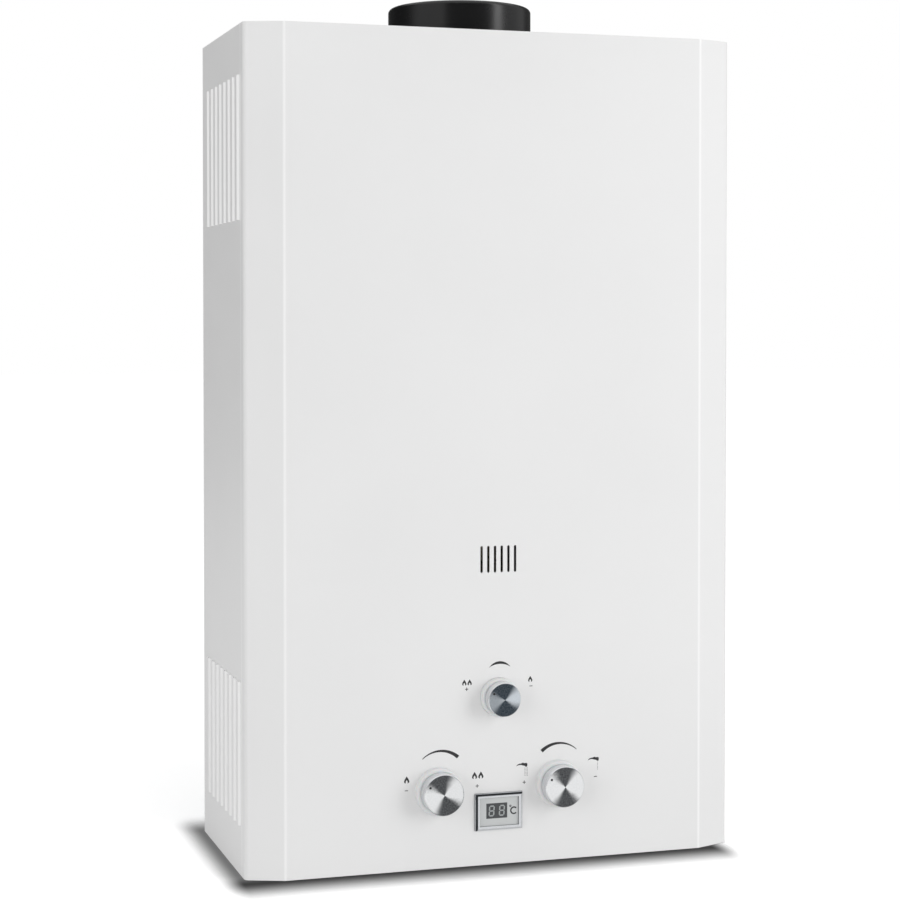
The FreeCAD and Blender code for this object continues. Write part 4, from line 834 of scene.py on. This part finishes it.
def bar(length, across, upward, standing):
    """A segment with pointed ends, lying or standing."""
    half, width = length / 2 - MITRE_GAP, BAR / 2
    outline = [(-half, 0), (-half + width, width), (half - width, width), (half, 0), (half - width, -width),
               (-half + width, -width)]
    if standing:
        outline = [(-v, u) for u, v in outline]
    return moved(outline, across, upward)


def digit(across, upward):
    half_width, half_height = DIGIT_WIDTH / 2 - BAR / 2, DIGIT_HEIGHT / 2 - BAR / 2
    lying = [bar(2 * half_width, 0, level, False) for level in (-half_height, 0, half_height)]
    standing = [bar(half_height, side, level, True) for side in (-half_width, half_width)
                for level in (-half_height / 2, half_height / 2)]
    return [[(across + u + LEAN * v, upward + v) for u, v in outline] for outline in lying + standing]


def ring(radius, stroke, across, upward, opening):
    """A ring as one outline; an opening to its right makes it a letter C."""
    return moved(swept_arc(radius, opening, 360 - opening, lambda share: stroke), across, upward)


window_at = Vector((window.middle.x, window.low.y, window.middle.z))
panel = [rectangle(PANEL_WIDTH, PANEL_HEIGHT, PANEL_ACROSS, PANEL_UP)]
digits = [outline for side in (-1, 1) for outline in digit(PANEL_ACROSS + side * PANEL_WIDTH / 4.1, PANEL_UP)]
unit = [ring(UNIT_RADIUS, UNIT_STROKE, UNIT_ACROSS, UNIT_UP, opening=42),
        ring(0.55, 0.5, UNIT_ACROSS - 2.6, UNIT_UP + 3.3, opening=1)]
piece("digit_panel", joined([plate(outline, INK, window_at) for outline in panel]), "casing", "digit_field")
digit_at = window_at - Vector((0, INK * MM, 0))
piece("digits", joined([plate(outline, INK, digit_at) for outline in digits]), "casing", "digit_grey")
piece("unit_sign", joined([plate(outline, INK, window_at) for outline in unit]), "casing", "print_ink")
print(len(digits), "segments on a panel of", PANEL_WIDTH, "by", PANEL_HEIGHT, "mm")

# %% [markdown]
# ## The camera
#
# The picture was taken from the left of the heater, a little above its middle, with a long lens. The numbers come
# from fitting a pinhole camera to ten corners of the case. The lens is shifted down slightly, which keeps the
# upright edges nearly parallel, as a studio photographer does.

# %% Camera
YAW, PITCH_DOWN, LENS, SHIFT = 17.31, 1.31, 84.17, -0.085
camera = bpy.data.objects.new("camera", bpy.data.cameras.new("camera"))
camera.data.lens, camera.data.shift_y = LENS, SHIFT
camera.location = (-0.4749, -1.4795, 0.3823)
camera.rotation_euler = (math.radians(90 - PITCH_DOWN), 0, math.radians(-YAW))
bpy.context.scene.collection.objects.link(camera)
bpy.context.scene.camera = camera
print("camera", round((camera.location - Vector((0, front, 0.3))).length, 2), "m away, lens", LENS, "mm")

# %% [markdown]
# ## The floor
#
# The heater stands on white paper. Under plain light white paper is only as bright as the light, so it looks grey, and
# more light would burn out the white case. Instead the paper's colour goes above one for the camera, for reflections
# and through glass, which lifts it to white where the light is open and keeps the shadow. For every other ray it is
# plain matt paper, so it doesn't light the case from below more than paper does. Round the foot of the case a shadow
# is
# painted on the paper: it gets darker within a few centimetres, most in front and on the left, away from the main
# lamp.
# Seen from beneath it is clear, so that the pipe stubs can be looked at, and right under the case it is left out, so
# that they get light.

# %% Rays that should see white
def bright_rays(finish):
    """1 for a ray from the camera, a mirror or glass, and 0 for light that spreads from matt surfaces."""
    camera_ray, mirror_ray, glass_ray = (finish.add("ShaderNodeLightPath", output=name) for name in (
        "Is Camera Ray", "Is Glossy Ray", "Is Transmission Ray"))
    return camera_ray.math("MAXIMUM", mirror_ray).math("MAXIMUM", glass_ray)


# %% Floor
FLOOR_SIZE, FLOOR_DROP, FLOOR_LIFT, MIRRORED_LIFT = 30.0, 0.3 * MM, 1.75, 1.25
# Widths and depths of the painted shadow round the foot of the case.
SHADOW_BESIDE, SHADOW_BEFORE, LIT_SIDE = 22 * MM, 55 * MM, 18 * MM
# The floor is left out only this far inside the case's outline. Nearer the edge the camera would see the gap.
CLEAR_INSET = 20 * MM
DEPTH_BESIDE, DEPTH_BEFORE, DEPTH_MIRRORED = 0.84, 0.96, 0.55


def grey(level):
    """A grey in linear values; paper that is lifted to white goes above one."""
    return (level, level, level, 1)


def past(finish, axis, low, high):
    """How far a point lies outside the case along one axis."""
    half = (high - low) / 2
    return ((finish.along(axis) - (low + high) / 2).math("ABSOLUTE") - half).math("MAXIMUM", 0.0)


def paper():
    finish = Finish("paper")
    finish.tree.nodes.remove(finish.shader)
    beside = past(finish, "X", cover.low.x, cover.high.x - LIT_SIDE) / SHADOW_BESIDE
    before = past(finish, "Y", cover.low.y, cover.high.y) / SHADOW_BEFORE
    near = 1 - (beside * beside + before * before).math("SQRT")
    outside = past(finish, "X", cover.low.x + CLEAR_INSET, cover.high.x - CLEAR_INSET).math(
        "MAXIMUM", past(finish, "Y", cover.low.y + CLEAR_INSET, cover.high.y - CLEAR_INSET))
    under_case = 1 - outside.above(MM, MM)
    in_front = (cover.low.y - finish.along("Y")).above(-10 * MM, 10 * MM)
    depth = DEPTH_BESIDE + in_front * (DEPTH_BEFORE - DEPTH_BESIDE)
    directly = finish.add("ShaderNodeLightPath", output="Is Camera Ray")
    # Painted shadow: darker nearer the case's outline, deepest at the foot, and weaker where reflections see it.
    shadow = near.above(0.5, 0.5) * depth * (DEPTH_MIRRORED + directly * (1 - DEPTH_MIRRORED))
    open_paper = finish.blend(directly, grey(MIRRORED_LIFT), grey(FLOOR_LIFT))
    white = finish.blend(shadow, open_paper, grey(0.0))
    lifted = finish.add("ShaderNodeBsdfDiffuse", sockets={"Color": white})
    matt = finish.add("ShaderNodeBsdfDiffuse", sockets={"Color": shade(240, 240, 240)})
    clear = finish.add("ShaderNodeBsdfTransparent")
    beneath = finish.add("ShaderNodeNewGeometry", output="Backfacing")
    seen = bright_rays(finish)
    top_side = finish.add("ShaderNodeMixShader", sockets={0: seen, 1: matt, 2: lifted})
    gone = (beneath * seen).math("MAXIMUM", under_case)
    final = finish.add("ShaderNodeMixShader", sockets={0: gone, 1: top_side, 2: clear})
    finish.put(finish.output.inputs["Surface"], final)
    return finish.material


def stage_mesh(name, vertices, faces, material):
    mesh = bpy.data.meshes.new(name)
    mesh.from_pydata(vertices, [], faces)
    mesh.materials.append(material)
    thing = bpy.data.objects.new(name, mesh)
    bpy.context.scene.collection.objects.link(thing)
    return thing


reach = FLOOR_SIZE / 2
stage_mesh("floor", [(u * reach, v * reach, -FLOOR_DROP) for u, v in ((-1, -1), (1, -1), (1, 1), (-1, 1))],
           [(0, 1, 2, 3)], paper())
print("floor of", FLOOR_SIZE, "m")

# %% [markdown]
# ## Cards for the gloss
#
# In an all-white room, black enamel turns grey and chrome turns white. A studio photographer stands dark and pale
# cards round the object, out of the picture, and metal and gloss get their depth from them. Here the cards are one
# round wall that only reflections see: the camera doesn't, and it neither blocks nor throws light. Its tone changes
# with the angle round the heater, as a row of cards would. Most of it is dark. Pale cards on both sides give the
# collar its broad soft sheens, and the two narrow bright ones are the strip lamps that draw its upright streaks.

# %% Card wall
CARD_RADIUS, CARD_HEIGHT, CARD_SIDES = 3.4, 3.4, 96
DARK_CARD = 0.13
CARDS = [(-180, -112, 14, 0.06), (-97, -44, 9, 0.72), (-47, -42, 2, 1.1),
         (58, 112, 9, 0.60), (112, 142, 9, 0.10), (150, 180, 8, 0.38), (40, 54, 3, 3.9)]


def between(signal, low, high, softness):
    return signal.above(low, softness) * (1 - signal.above(high, softness))


def card_paint():
    finish = Finish("card")
    finish.tree.nodes.remove(finish.shader)
    angle = finish.along("X").math("ARCTAN2", -finish.along("Y")) * (180 / math.pi)
    tone = finish.blend(finish.grain(0.5), grey(DARK_CARD), grey(DARK_CARD * 1.1))
    for low, high, softness, level in CARDS:
        tone = finish.blend(between(angle, low, high, softness), tone, grey(level))
    finish.put(finish.output.inputs["Surface"], finish.add("ShaderNodeEmission", sockets={"Color": tone}))
    return finish.material


corners = [(CARD_RADIUS * math.cos(2 * math.pi * side / CARD_SIDES),
            CARD_RADIUS * math.sin(2 * math.pi * side / CARD_SIDES), height)
           for side in range(CARD_SIDES) for height in (0.0, CARD_HEIGHT)]
wall = stage_mesh("card_wall", corners, [(i, (i + 2) % len(corners), (i + 3) % len(corners), i + 1)
                                         for i in range(0, len(corners), 2)], card_paint())
wall.visible_camera = wall.visible_diffuse = wall.visible_shadow = wall.visible_transmission = False
print("card wall at", CARD_RADIUS, "m, seen by reflections only")

# %% [markdown]
# ## Light
#
# The picture has a large soft light on the right, a weaker one on the left and white all round. The world gives the
# even part: it is white for the camera, for reflections and through glass, and weaker for the light it throws on
# surfaces. The main lamp makes the front brighter than the left side, and the fill keeps the left fold light. Both are
# hidden from reflections, where the card wall takes their place. A lamp's place is given as on a set: its angle round
# the heater from the front, its distance and its height.

# %% World and lamps
EVEN_LIGHT = 0.58


def surroundings():
    world = bpy.data.worlds.new("studio")
    bpy.context.scene.world = world
    world.use_nodes = True
    world.node_tree.nodes.clear()
    sky = Network(world.node_tree)
    plain, white = (sky.add("ShaderNodeBackground", sockets={"Color": (1, 1, 1, 1), "Strength": strength})
                    for strength in (EVEN_LIGHT, 1.0))
    both = sky.add("ShaderNodeMixShader", sockets={0: bright_rays(sky), 1: plain, 2: white})
    output = world.node_tree.nodes.new("ShaderNodeOutputWorld")
    sky.put(output.inputs["Surface"], both)


def lamp(name, angle, distance, height, wide, tall, power):
    """An upright area lamp that faces the heater; a positive angle stands it on the right."""
    light = bpy.data.lights.new(name, "AREA")
    light.shape, light.size, light.size_y, light.energy = "RECTANGLE", wide, tall, power
    thing = bpy.data.objects.new(name, light)
    turn = math.radians(angle)
    thing.location = (distance * math.sin(turn), -distance * math.cos(turn), height)
    thing.rotation_euler = (math.radians(90), 0, turn)
    bpy.context.scene.collection.objects.link(thing)
    return thing


surroundings()
for soft in (lamp("main", 42, 1.9, 0.65, 1.0, 1.4, 13.0), lamp("fill", -54, 2.2, 0.7, 1.2, 1.5, 10.6)):
    soft.visible_glossy = False
bpy.context.scene.view_settings.view_transform = "Standard"
print("even light", EVEN_LIGHT, "with two lamps")
